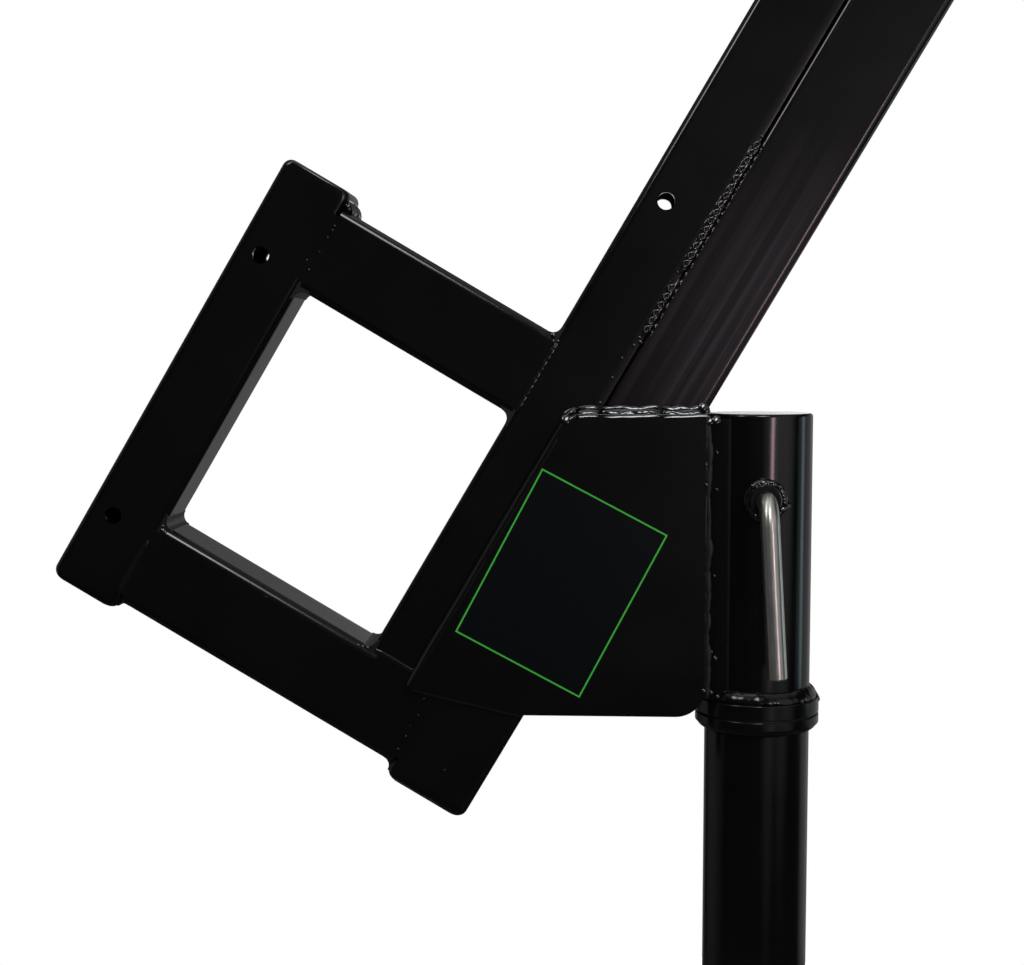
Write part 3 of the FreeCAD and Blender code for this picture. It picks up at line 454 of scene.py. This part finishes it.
def stitch_beads(face):
    """The stitch that joins the two boom tubes, in the groove between them: a flat run, open where it
    was stopped and started again, the rim that each puddle froze with and a broken toe beside them."""
    chance = random.Random(20 + face)
    out = BACK * face
    level = face * (FACE - 0.4 * MM)
    rim_level = level + face * 1.0 * MM
    toe_level = face * (FACE - 1.1 * MM)
    toe_pitch = 3 * MM
    beads = []
    for start, end in STITCH_RUNS:
        stations = straight(on_boom(start, STITCH_LINE, level), on_boom(end, STITCH_LINE, level), out,
                            STITCH_PITCH)
        beads.append(dict(stations=stations, wide=3.7 * MM, tall=1.0 * MM, pitch=STITCH_PITCH,
                          seed=22 + face, ripple=0.1, uneven=0.14))
    puddle, last = STITCH_PUDDLES
    while puddle < last:
        if not STITCH_STOP[0] < puddle < STITCH_STOP[1]:
            middle = on_boom(puddle, STITCH_LINE + chance.uniform(-0.4, 0.4) * MM, rim_level)
            reach = chance.uniform(2.8, 3.3) * MM
            width = chance.uniform(1.8, 2.4) * MM
            beads.append(dict(stations=loop(middle, ALONG, out, reach, width), wide=1.05 * MM,
                              tall=0.95 * MM, pitch=1 * MM, seed=int(puddle * 1e5) + face,
                              ripple=0.05, uneven=0.18, bow=0.0, closed=True))
        puddle += STITCH_PITCH * chance.uniform(0.85, 1.1)
    toe, last = STITCH_TOE
    while toe < last:
        end = toe + chance.uniform(3.5, 7) * MM
        across = SEAM + chance.uniform(2.6, 3.6) * MM
        stations = straight(on_boom(toe, across, toe_level), on_boom(end, across, toe_level), out,
                            toe_pitch)
        beads.append(dict(stations=stations, wide=1.1 * MM, tall=0.95 * MM, pitch=toe_pitch,
                          seed=int(toe * 1e5) + face, uneven=0.3))
        toe = end + chance.uniform(1.5, 3.5) * MM
    return beads


# lumps of spatter beside the groove: along and across the boom, and how large each is, in millimetres
SEAM_SPATTER = ((213, -250.3, 1.7), (199, -253.3, 1.2), (181, -252.0, 1.4), (158, -250.0, 1.6),
                (218, -247, 2.2), (221, -249.5, 1.6), (283, -250, 1.3), (412, -247.5, 1.7))
weld_piece("stitch_welds", "boom", [bead for face in BOTH_FACES for bead in stitch_beads(face)],
           [(on_boom(along * MM, across * MM, face * (FACE - 0.4 * MM)), BACK * face, size * MM)
            for along, across, size in SEAM_SPATTER for face in BOTH_FACES])


def seam_edges():
    """The spine tube's two crisp edges beside the seam, where its corner was filled and dressed
    square."""
    mesh = bmesh.new()
    wide, deep, crisp = 7.4 * MM, 8 * MM, 0.3 * MM
    low, high = 120 * MM, BOOM_TOP - CAP
    for face in BOTH_FACES:
        made = bmesh.ops.create_cube(mesh, size=1.0)["verts"]
        edges = [e for e in dict.fromkeys(e for v in made for e in v.link_edges)
                 if all(v.co.x > 0 and v.co.y < 0 for v in e.verts)]
        block = Matrix.Diagonal((wide, deep, high - low, 1))
        turned = Matrix((ACROSS, BACK * -face, ALONG)).transposed().to_4x4()
        middle = on_boom((low + high) / 2, SEAM - 0.3 * MM - wide / 2,
                         face * (FACE - 0.02 * MM - deep / 2))
        bmesh.ops.transform(mesh, matrix=Matrix.Translation(middle) @ turned @ block, verts=made)
        bmesh.ops.bevel(mesh, geom=edges, offset=crisp, offset_type="OFFSET", segments=3, profile=0.5,
                        affect="EDGES", material=-1)
    finish_piece("seam_edge_fill", mesh, "boom", [coat])


seam_edges()


def gusset_corner():
    """The middle of the gusset's rounded upper corner, its radius and the turn of its arc."""
    corner = 12 * MM
    x = (GUSSET_SIDE + SLEEVE_HEIGHT * math.sin(BOOM_ANGLE)) / math.cos(BOOM_ANGLE)
    turn = math.pi / 2 - BOOM_ANGLE
    tangent = corner / math.tan((math.pi - turn) / 2)
    return Vector((x + tangent, 0, SWIVEL + SLEEVE_HEIGHT - corner)), corner, turn


# where the gusset's upper weld was stopped and started again, from the mast's axis
TOP_STOPS = (-84 * MM, -87 * MM, -134 * MM, -138 * MM)


def gusset_top_pass(face, lift, depth, lean, wide, tall, seed, ragged, blunt):
    """One pass along the gusset's upper edge, in three lengths from the sleeve and round the plate's
    corner."""
    middle, corner, turn = gusset_corner()
    pitch = 8.5 * MM
    inward = BACK * face * depth
    level = UP * (SWIVEL + SLEEVE_HEIGHT + lift) + inward
    out = (BACK * face + UP * lean).normalized()
    sag = UP * 0.5 * MM
    right = Vector((1, 0, 0))
    ends = (-PIPE_RADIUS - 1 * MM, *TOP_STOPS, middle.x)
    lengths = []
    for number, (start, end) in enumerate(zip(ends[::2], ends[1::2])):
        stations = straight(level + right * start + sag, level + right * end - sag, out, pitch)
        lengths.append(dict(stations=stations, wide=wide, tall=tall, pitch=pitch / 2,
                            seed=seed + 7 * number, ripple=0.35 * ragged, uneven=ragged,
                            stray=ragged, bow=0.25, blunt=blunt))
    count = 2 * STEPS
    for i in range(1, count + 1):
        angle = math.pi / 2 + turn * i / count
        radial = Vector((math.cos(angle), 0, math.sin(angle)))
        stations.append((middle + radial * (corner + lift) + inward, BACK.cross(radial).normalized(),
                         (BACK * face + radial * lean).normalized()))
    return lengths


def gusset_top_drops(face, seed):
    """Lumps where the passes start on the sleeve and where they stop at the plate's corner."""
    middle = gusset_corner()[0]
    top = SWIVEL + SLEEVE_HEIGHT
    lump = 4.4 * MM
    knuckles = [(-PIPE_RADIUS - 6 * MM, top + 6 * MM), (-PIPE_RADIUS, top - 6 * MM),
                (-PIPE_RADIUS + 5 * MM, top - 5 * MM), (middle.x - 10 * MM, top - 5 * MM)]
    chance = random.Random(seed)
    out = (BACK * face + UP * 0.4).normalized()
    return [(Vector((x, face * (FACE + 4.6 * MM), z)), out, lump * chance.uniform(0.8, 1.15), 0.3)
            for x, z in knuckles]


def gusset_side_bead(face):
    """Down the gusset's side edge, on the spine tube: a smooth flat fillet."""
    middle, corner = gusset_corner()[:2]
    depth = BACK * face * (FACE + 3.1 * MM)
    radial = -ACROSS
    lift = 1.2 * MM
    start = middle + radial * (corner + lift) + depth
    low = (GUSSET_FOOT_RISE + GUSSET_SIDE * math.sin(BOOM_ANGLE)) / math.cos(BOOM_ANGLE)
    end = on_boom(low, GUSSET_SIDE - lift) + depth
    pitch = 22 * MM
    return dict(stations=straight(start, end, (BACK * face + radial).normalized(), pitch),
                wide=5.0 * MM, tall=1.6 * MM, pitch=pitch / 3, seed=33 + face, ripple=0.02, uneven=0.04,
                stray=0.06, bow=0.3)


def gusset_foot_bead(face):
    """Under the slanted stretch of the gusset's foot, on the tubes behind it."""
    foot = Vector((-GUSSET_FOOT_RUN, 0, SWIVEL))
    rise = Vector(((GUSSET_SIDE + GUSSET_FOOT_RISE * math.sin(BOOM_ANGLE)) / math.cos(BOOM_ANGLE), 0,
                   SWIVEL + GUSSET_FOOT_RISE))
    run = (rise - foot).normalized()
    under = Vector((run.z, 0, -run.x))
    under *= -1 if under.z > 0 else 1
    depth = BACK * face * (FACE + 0.5 * MM) + under * 1.2 * MM
    out = (BACK * face + under * 0.8).normalized()
    pitch = 14 * MM
    return dict(stations=straight(foot + depth, rise + depth, out, pitch), wide=2.6 * MM,
                tall=1.4 * MM, pitch=pitch / 2, seed=90 + face, ripple=0.05, uneven=0.16, stray=0.25)


# Each pass along the gusset's upper edge has its lift and depth, how far it leans up, its width, height,
# seed and raggedness, and how blunt it ends.
weld_piece("gusset_top_welds", "boom", [
    length
    for face in BOTH_FACES
    for run in ((1.0 * MM, FACE + 1.8 * MM, 0.75, 4.6 * MM, 2.4 * MM, 30 + face, 0.14, 0.75),
                (4.7 * MM, FACE + 1.6 * MM, 0.4, 2.2 * MM, 0.9 * MM, 130 + face, 0.5, 0.3),
                (1.1 * MM, FACE + 4.2 * MM, 0.4, 2.2 * MM, 1.1 * MM, 330 + face, 0.65, 0.3),
                (-2.3 * MM, FACE + PLATE, 0.4, 2.0 * MM, 0.7 * MM, 430 + face, 0.16, 0.3))
    for length in gusset_top_pass(face, *run)
], [drop for face in BOTH_FACES for drop in gusset_top_drops(face, 230 + face)])
weld_piece("gusset_side_welds", "boom", [gusset_side_bead(face) for face in BOTH_FACES])
weld_piece("gusset_foot_weld", "boom", [gusset_foot_bead(face) for face in BOTH_FACES], replaced=False)


def gusset_sleeve_bead(face):
    """Up the corner between the gusset's edge and the sleeve: filled nearly flat."""
    pitch = 11 * MM
    middle = Vector((-PIPE_RADIUS + 8 * MM, face * (FACE + PLATE - 4.5 * MM), SWIVEL))
    out = Vector((-0.11, face, 0)).normalized()
    return dict(stations=straight(middle + UP * 16 * MM, middle + UP * 251 * MM, out, pitch),
                wide=12.5 * MM, tall=1.0 * MM, pitch=pitch, seed=36 + face, ripple=0.03, uneven=0.04,
                stray=0.02, bow=0.3, blunt=0.8)


def gusset_edge_bead(face):
    """The ragged toe of that weld, washed over the plate's edge."""
    pitch = 9 * MM
    middle = Vector((-PIPE_RADIUS - 1.2 * MM, face * (FACE + PLATE - 1.1 * MM), SWIVEL))
    out = Vector((-0.2, face, 0)).normalized()
    return dict(stations=straight(middle + UP * 18 * MM, middle + UP * 249 * MM, out, pitch),
                wide=3.6 * MM, tall=1.6 * MM, pitch=pitch, seed=136 + face, ripple=0.08, uneven=0.3,
                stray=0.25)


# lumps where that weld was stopped and started again: x, height and how large each is, in millimetres
SLEEVE_LUMPS = ((-38.6, 221.8, 1.6), (-47.5, 212, 1.4), (-47.3, 195.3, 1.8), (-38.3, 191, 1.5),
                (-40, 119, 1.7), (-38.6, 49.3, 2.7), (-42, 55, 2.0), (-48, 22.5, 2.2), (-41.6, 20.4, 2.2),
                (-36, 17, 2.0))


def sleeve_lump(x, height, size, face):
    """One of those lumps: on the plate's edge, or to its right on the lower bead."""
    sunk = 3.4 * MM if x > -44 else 0.1 * MM
    place = Vector((x * MM, face * (FACE + PLATE - sunk), SWIVEL + height * MM))
    return place, BACK * face, size * MM, 0.45


weld_piece("gusset_sleeve_welds", "boom", [gusset_sleeve_bead(face) for face in BOTH_FACES],
           [sleeve_lump(*lump, face) for lump in SLEEVE_LUMPS for face in BOTH_FACES], finish=coat)
weld_piece("gusset_edge_weld", "boom", [gusset_edge_bead(face) for face in BOTH_FACES], replaced=False,
           finish=dull_coat)


def boss_bead():
    """Round the lock boss, on the curve of the sleeve."""
    radius = BOSS_RADIUS - 0.8 * MM
    pitch = 7 * MM
    count = round(2 * math.pi * radius / pitch) * STEPS
    places = []
    for i in range(count + 1):
        turn = 2 * math.pi * i / count
        x = radius * math.cos(turn)
        y = -math.sqrt(PIPE_RADIUS ** 2 - x ** 2) - 6.6 * MM
        places.append(Vector((x, y, LOCK_HEIGHT + radius * math.sin(turn))))
    stations = []
    for i, place in enumerate(places):
        ahead, behind = places[(i + 1) % count], places[(i - 1) % count]
        along = (ahead - behind).normalized()
        radial = Vector((place.x, 0, place.z - LOCK_HEIGHT)).normalized()
        out = radial * 0.35 - BACK
        out = (out - along * out.dot(along)).normalized()
        stations.append((place, along, out))
    return dict(stations=stations, wide=4.6 * MM, tall=6.4 * MM, pitch=pitch, seed=40, ripple=0.09,
                uneven=0.08, closed=True)


def boss_lumps():
    """Small lumps over the top of that weld and at its right."""
    chance = random.Random(41)
    lumps = []
    for degrees in (-28, -8, 16, 44, 58, 71, 83, 96, 108, 121, 134):
        turn = math.radians(degrees + chance.uniform(-4, 4))
        reach = BOSS_RADIUS + chance.uniform(-0.5, 2.5) * MM
        out = Vector((0.5 * math.cos(turn), -1, 0.5 * math.sin(turn))).normalized()
        place = Vector((reach * math.cos(turn), -PIPE_RADIUS - 11.2 * MM,
                        LOCK_HEIGHT + reach * math.sin(turn)))
        lumps.append((place, out, chance.uniform(1.3, 2.1) * MM))
    return lumps


weld_piece("lock_boss_weld", "boom", [boss_bead()], boss_lumps())

UPPER_TOP = WINDOW_TOP + CROSS_FACE
LOWER_FOOT = WINDOW_FOOT - CROSS_FACE
# each corner's place along and across the boom, its two ways out, and the tube's length past it
frame_corners = [
    (UPPER_TOP, RAIL_INNER, 1, 1, RAIL_TOP - UPPER_TOP), (UPPER_TOP, SPINE_SIDE, 1, -1, CROSS_FACE),
    (WINDOW_TOP, RAIL_INNER, -1, 1, CROSS_FACE), (WINDOW_TOP, SPINE_SIDE, -1, -1, CROSS_FACE),
    (WINDOW_FOOT, RAIL_INNER, 1, 1, CROSS_FACE), (WINDOW_FOOT, SPINE_SIDE, 1, -1, CROSS_FACE),
    (LOWER_FOOT, RAIL_INNER, -1, 1, LOWER_FOOT - RAIL_FOOT),
    (LOWER_FOOT, SEAM, -1, -1, LOWER_FOOT - BOOM_FOOT),
]


def corner_bead(along, across, up, side):
    """The lumpy bead that was left as it was laid at the rail's upper end."""
    out = (ALONG * up + ACROSS * side).normalized()
    middle = on_boom(along, across) + out * 3.9 * MM
    reach = BACK * (FACE - 3 * MM)
    pitch = 7 * MM
    return dict(stations=straight(middle - reach, middle + reach, out, pitch), wide=7.4 * MM,
                tall=3.9 * MM, pitch=pitch, seed=50, ripple=0.2, uneven=0.18, blunt=0.6)


# lumps on the fills' front ends: along and across the boom, and how large each is, in millimetres
CORNER_LUMPS = ((186.5, -312.4, 2.6), (182.5, -310, 1.8), (-120.5, -313.6, 1.7), (-122, -317.5, 1.5),
                (-122.6, -321.5, 1.2), (-120.3, -515.5, 1.4), (-123.6, -513.8, 2.4),
                (-123.9, -511.6, 2.0))
weld_piece("frame_corner_welds", "boom", [corner_bead(*frame_corners[0][:4])],
           [(on_boom(along * MM, across * MM, face * (FACE - 1.5 * MM)),
             (BACK * face + UP * 0.4).normalized(), size * MM, 0.5)
            for along, across, size in CORNER_LUMPS for face in BOTH_FACES],
           fills=[(150 + number, *corner) for number, corner in enumerate(frame_corners)], finish=coat)


# The marks left where the frame's welds were dressed flush. Each line has its foot and head along and
# across the boom, how wide and how proud it still is in millimetres, and how rough.
flush_lines = [
    (WINDOW_TOP, SPINE_SIDE + 3.5 * MM, UPPER_TOP, SPINE_SIDE + 3.5 * MM, 1.6, 0.7, 0.22),
    (LOWER_FOOT + 3 * MM, RAIL_INNER - 4.6 * MM, WINDOW_FOOT - 12 * MM, RAIL_INNER - 5.1 * MM,
     1.9, 0.8, 0.02),
    (WINDOW_FOOT + 2 * MM, SPINE_SIDE, WINDOW_FOOT + 2 * MM, SEAM - 18 * MM, 1.7, 0.6, 0.02),
]
# nibs of weld along and across the boom, and how large each is, in millimetres
flush_nibs = [(172, -514.8, 1.1), (168, -514.5, 1.0), (161, -515.3, 0.9), (147, -515.3, 0.9),
              (136, -521, 0.8), (130, -515.4, 1.0), (-133, -250.6, 1.0), (-148, -247.2, 1.1),
              (-169, -247.4, 1.1), (-182, -247.5, 1.1), (-160, -248.5, 0.7), (184, -306, 1.6),
              (178, -306.6, 1.2), (-127.3, -409.5, 0.8), (-123, -354.4, 0.8), (-177.1, -204.1, 0.9)]


def flush_line(number, line, face):
    """One of those lines as a low bead, trimmed at both ends."""
    along, across, end_along, end_across, wide, proud, ripple = line
    depth = face * (FACE - 0.1 * MM)
    start, end = on_boom(along, across, depth), on_boom(end_along, end_across, depth)
    trim = (end - start).normalized() * 4 * MM
    pitch = 5.5 * MM
    return dict(stations=straight(start + trim, end - trim, BACK * face, pitch), wide=wide * MM,
                tall=proud * MM, pitch=pitch, seed=60 + 2 * number + face, ripple=ripple, uneven=ripple,
                blunt=0.1)


weld_piece("frame_dressed_weld_marks", "boom",
           [flush_line(number, line, face)
            for number, line in enumerate(flush_lines) for face in BOTH_FACES],
           [(on_boom(along * MM, across * MM, face * FACE), BACK * face, size * MM)
            for along, across, size in flush_nibs for face in BOTH_FACES], replaced=False)

HEAD_LOW = BOOM_TOP - 130 * MM
weld_piece("head_welds", "boom", [
    dict(stations=straight(on_boom(HEAD_LOW - 1 * MM, SPINE_SIDE + 20 * MM, face * (FACE + 1 * MM)),
                           on_boom(HEAD_LOW - 1 * MM, MAIN_SIDE - 20 * MM, face * (FACE + 1 * MM)),
                           (BACK * face - ALONG).normalized(), 7 * MM),
         wide=5.2 * MM, tall=3.6 * MM, pitch=7 * MM, seed=80 + face)
    for face in BOTH_FACES
])


# End caps

SIDE_ROUND = 8 * MM
FACE_ROUND = 1.8 * MM
ROUND_STEPS = 8


def end_cap(name, wide, seat, across, way):
    """A cap welded on a tube's end, its rim dressed round: broadly at the sides, a little at front
    and back."""
    mesh = bmesh.new()
    bmesh.ops.create_grid(mesh, x_segments=1, y_segments=1, size=0.5)
    bmesh.ops.scale(mesh, vec=(wide, 2 * FACE, 1), verts=mesh.verts)
    bmesh.ops.bevel(mesh, geom=mesh.verts, offset=TUBE_CORNER, offset_type="OFFSET", segments=6,
                    profile=0.5, affect="VERTICES", material=-1)
    top = list(mesh.faces)[0]
    size = Vector((wide, 2 * FACE, 0))
    for step in range(ROUND_STEPS + 1):
        turn = math.pi / 2 * step / ROUND_STEPS
        height = CAP - SIDE_ROUND * (1 - math.sin(turn))
        over = max(0.0, height - CAP + FACE_ROUND)
        reached = Vector((wide - 2 * SIDE_ROUND * (1 - math.cos(turn)),
                          2 * FACE - 2 * (FACE_ROUND - math.sqrt(FACE_ROUND ** 2 - over ** 2)), height))
        made = bmesh.ops.extrude_face_region(mesh, geom=[top])["geom"]
        top = next(g for g in made if isinstance(g, bmesh.types.BMFace))
        bmesh.ops.scale(mesh, vec=(reached.x / size.x, reached.y / size.y, 1), verts=top.verts)
        bmesh.ops.translate(mesh, vec=(0, 0, reached.z - size.z), verts=top.verts)
        size = reached
    turned = Matrix((ACROSS, BACK, ALONG * way)).transposed().to_4x4()
    bmesh.ops.transform(mesh, matrix=Matrix.Translation(on_boom(seat, across)) @ turned, verts=mesh.verts)
    finish_piece(f"{name}_dressed", mesh, "boom", [coat], [name])


end_cap("rail_top_cap", RAIL_FACE, RAIL_TOP - CAP, RAIL_INNER - RAIL_FACE / 2, 1)
end_cap("rail_bottom_cap", RAIL_FACE, RAIL_FOOT + CAP, RAIL_INNER - RAIL_FACE / 2, -1)
end_cap("main_bottom_cap", MAIN_FACE, BOOM_FOOT + CAP, MAIN_SIDE - MAIN_FACE / 2, -1)
end_cap("main_top_cap", MAIN_FACE, BOOM_TOP - CAP, MAIN_SIDE - MAIN_FACE / 2, 1)
end_cap("spine_top_cap", SEAM - SPINE_SIDE, BOOM_TOP - CAP, (SEAM + SPINE_SIDE) / 2, 1)


# The blank label on the front gusset

def label():
    """A thin film on the gusset with a plain printed line round its edge."""
    wide, tall = 119 * MM, 156.5 * MM
    margin, line, thick = 0.5 * MM, 1.9 * MM, 0.15 * MM
    turn = math.radians(27.9)
    middle = Vector((-167.5 * MM, -(FACE + PLATE), SWIVEL + 112.2 * MM))
    mesh = bmesh.new()
    bmesh.ops.create_grid(mesh, x_segments=1, y_segments=1, size=0.5)
    bmesh.ops.scale(mesh, vec=(wide, tall, 1), verts=mesh.verts)
    film = list(mesh.faces)
    bmesh.ops.inset_region(mesh, faces=film, thickness=margin, use_boundary=True)
    for face in bmesh.ops.inset_region(mesh, faces=film, thickness=line, use_boundary=True)["faces"]:
        face.material_index = 1
    made = bmesh.ops.extrude_face_region(mesh, geom=list(mesh.faces))
    risen = [g for g in made["geom"] if isinstance(g, bmesh.types.BMVert)]
    bmesh.ops.translate(mesh, vec=(0, 0, thick), verts=risen)
    place = (Matrix.Translation(middle) @ Matrix.Rotation(turn, 4, "Y")
             @ Matrix.Rotation(math.pi / 2, 4, "X"))
    bmesh.ops.transform(mesh, matrix=place, verts=mesh.verts)
    finish_piece("blank_label", mesh, "boom", [label_film, label_ink])


label()


# Floor, light and camera

def softbox(name, way, distance, wide, tall, glow, colour, upright=UP):
    """A rectangular lamp that faces the swivel from one way off; glow is how bright its face is."""
    lamp = bpy.data.lights.new(name, "AREA")
    lamp.shape = "RECTANGLE"
    lamp.size, lamp.size_y = wide, tall
    lamp.energy = glow * math.pi * wide * tall
    lamp.color = linear(colour)[:3]
    holder = bpy.data.objects.new(name, lamp)
    back = Vector(way).normalized()
    side = upright.cross(back).normalized()
    turned = Matrix((side, back.cross(side), back)).transposed().to_4x4()
    holder.matrix_world = Matrix.Translation(SUBJECT + back * distance) @ turned
    holder.visible_camera = False
    bpy.context.scene.collection.objects.link(holder)


def pale_floor():
    """A round of pale floor that keeps the shadow at the mast's foot and fades to white round it."""
    reach = 1.45
    material = new_material("pale_studio_floor")
    place = add(material, "TexCoord").outputs["Object"]
    distance = add(material, "VectorMath", {0: place}, operation="LENGTH")
    fade = add(material, "MapRange", {"Value": distance.outputs["Value"], "From Min": 0.3,
                                      "From Max": reach, "To Min": 0.25, "To Max": 1.0})
    path = add(material, "LightPath")
    paint = add(material, "Mix", {0: path.outputs["Is Glossy Ray"], 6: linear("#e6e6e4"),
                                  7: linear("#3a3a3a")}, data_type="RGBA")
    seen = add(material, "Math", {0: path.outputs["Is Camera Ray"],
                                  1: path.outputs["Is Transmission Ray"]}, operation="MAXIMUM")
    lift = add(material, "Math", {0: seen.outputs[0], 1: fade.outputs[0]}, operation="MULTIPLY")
    surface(material, Base_Color=paint.outputs[2], Roughness=0.9, Specular_IOR_Level=0.0,
            Emission_Color=linear("#ffffff"), Emission_Strength=lift.outputs[0])
    mesh = bmesh.new()
    bmesh.ops.create_circle(mesh, cap_ends=True, segments=96, radius=reach)
    data = bpy.data.meshes.new("studio_floor")
    mesh.to_mesh(data)
    mesh.free()
    data.materials.append(material)
    floor = bpy.data.objects.new("studio_floor", data)
    bpy.context.scene.collection.objects.link(floor)


def studio_world():
    """White where the eye looks past the object. The black gloss mirrors the same backdrop dimmed, a
    paler ceiling, paler walls at both sides and a dark room behind the camera."""
    world = bpy.data.worlds.new("studio")
    world.use_nodes = True
    world.node_tree.nodes.clear()
    bpy.context.scene.world = world
    way = add(world, "TexCoord").outputs["Generated"]
    mirrored = 0.01
    for middle, dark, bright, glow in MIRRORED_ROOM:
        near = add(world, "VectorMath", {0: way, 1: Vector(middle).normalized()}, operation="DOT_PRODUCT")
        patch = add(world, "MapRange", {"Value": near.outputs["Value"], "From Min": dark,
                                        "From Max": bright, "To Min": 0.0, "To Max": glow})
        mirrored = add(world, "Math", {0: patch.outputs[0], 1: mirrored}, operation="ADD").outputs[0]
    path = add(world, "LightPath")
    seen = add(world, "Math", {0: path.outputs["Is Camera Ray"], 1: path.outputs["Is Transmission Ray"]},
               operation="MAXIMUM")
    fill = 0.7
    plain = add(world, "Mix", {0: seen.outputs[0], 2: fill, 3: 1.0}, data_type="FLOAT")
    strength = add(world, "Mix", {0: path.outputs["Is Glossy Ray"], 2: plain.outputs[0],
                                  3: mirrored}, data_type="FLOAT")
    background = add(world, "Background", {"Color": linear("#ffffff"), "Strength": strength.outputs[0]})
    add(world, "OutputWorld", {"Surface": background.outputs[0]})


SUBJECT = Vector((-0.1, 0, SWIVEL + 0.2))
# patches of the room: the way to each one's middle, the cosines where it starts and is full, and its glow
MIRRORED_ROOM = (
    ((0.1, 1, 0), 0.75, 0.92, 0.17),
    ((0, 0, 1), 0.6, 0.9, 0.4),
    ((-0.92, 0.33, 0.2), 0.75, 0.92, 0.12),
    ((0.74, -0.62, 0.25), 0.84, 0.95, 0.45),
    ((0.75, 0.65, -0.1), 0.88, 0.96, 0.25),
    ((0.25, -0.94, 0.25), 0.93, 0.98, 0.035),
    ((0.35, -0.93, -0.03), 0.94, 0.985, 0.18),
    ((-0.15, -0.97, 0.15), 0.9, 0.98, 0.03),
)
pale_floor()
studio_world()
softbox("key_softbox", (0.059, -0.727, 0.684), 3.46, 0.82, 1.4, 9.0, "#f4fbff", ALONG)
softbox("rose_strip", (0.42, -0.93, -0.03), 4.0, 0.42, 1.1, 8.5, "#ffd9e0")
softbox("cool_strip", (0.98, 0.21, -0.07), 3.0, 0.5, 1.1, 1.5, "#cfeaf0")
softbox("teal_strip", (1.0, 0.03, -0.07), 3.0, 0.5, 1.1, 0.4, "#a6cdd2")
softbox("left_softbox", (-0.559, -0.434, 0.706), 3.04, 0.8, 0.8, 6.0, "#ffffff", ALONG)
softbox("top_softbox", (-0.1, 0.1, 1.0), 2.6, 2.0, 1.4, 0.8, "#ffffff")
softbox("back_strip", (0.12, 0.99, 0.047), 4.0, 2.0, 0.45, 1.1, "#ffffff")

FRAME_WIDTH = 1024
EYE = Vector((-142.13 * MM, -1393.24 * MM, SWIVEL + 301.64 * MM))
FOCAL_PIXELS = 1633.95
camera = bpy.data.cameras.new("camera")
camera.sensor_fit = "HORIZONTAL"
camera.sensor_width = 36
camera.lens = 36 * FOCAL_PIXELS / FRAME_WIDTH
camera.clip_end = 100
eye = bpy.data.objects.new("camera", camera)
bpy.context.scene.collection.objects.link(eye)
yaw, pitch, roll = (math.radians(turn) for turn in (-2.7997, -4.4195, 0.018))
eye.matrix_world = (Matrix.Translation(EYE) @ Matrix.Rotation(-yaw, 4, "Z")
                    @ Matrix.Rotation(math.pi / 2 + pitch, 4, "X") @ Matrix.Rotation(roll, 4, "Z"))
bpy.context.scene.camera = eye
bpy.context.scene.view_settings.view_transform = "Standard"
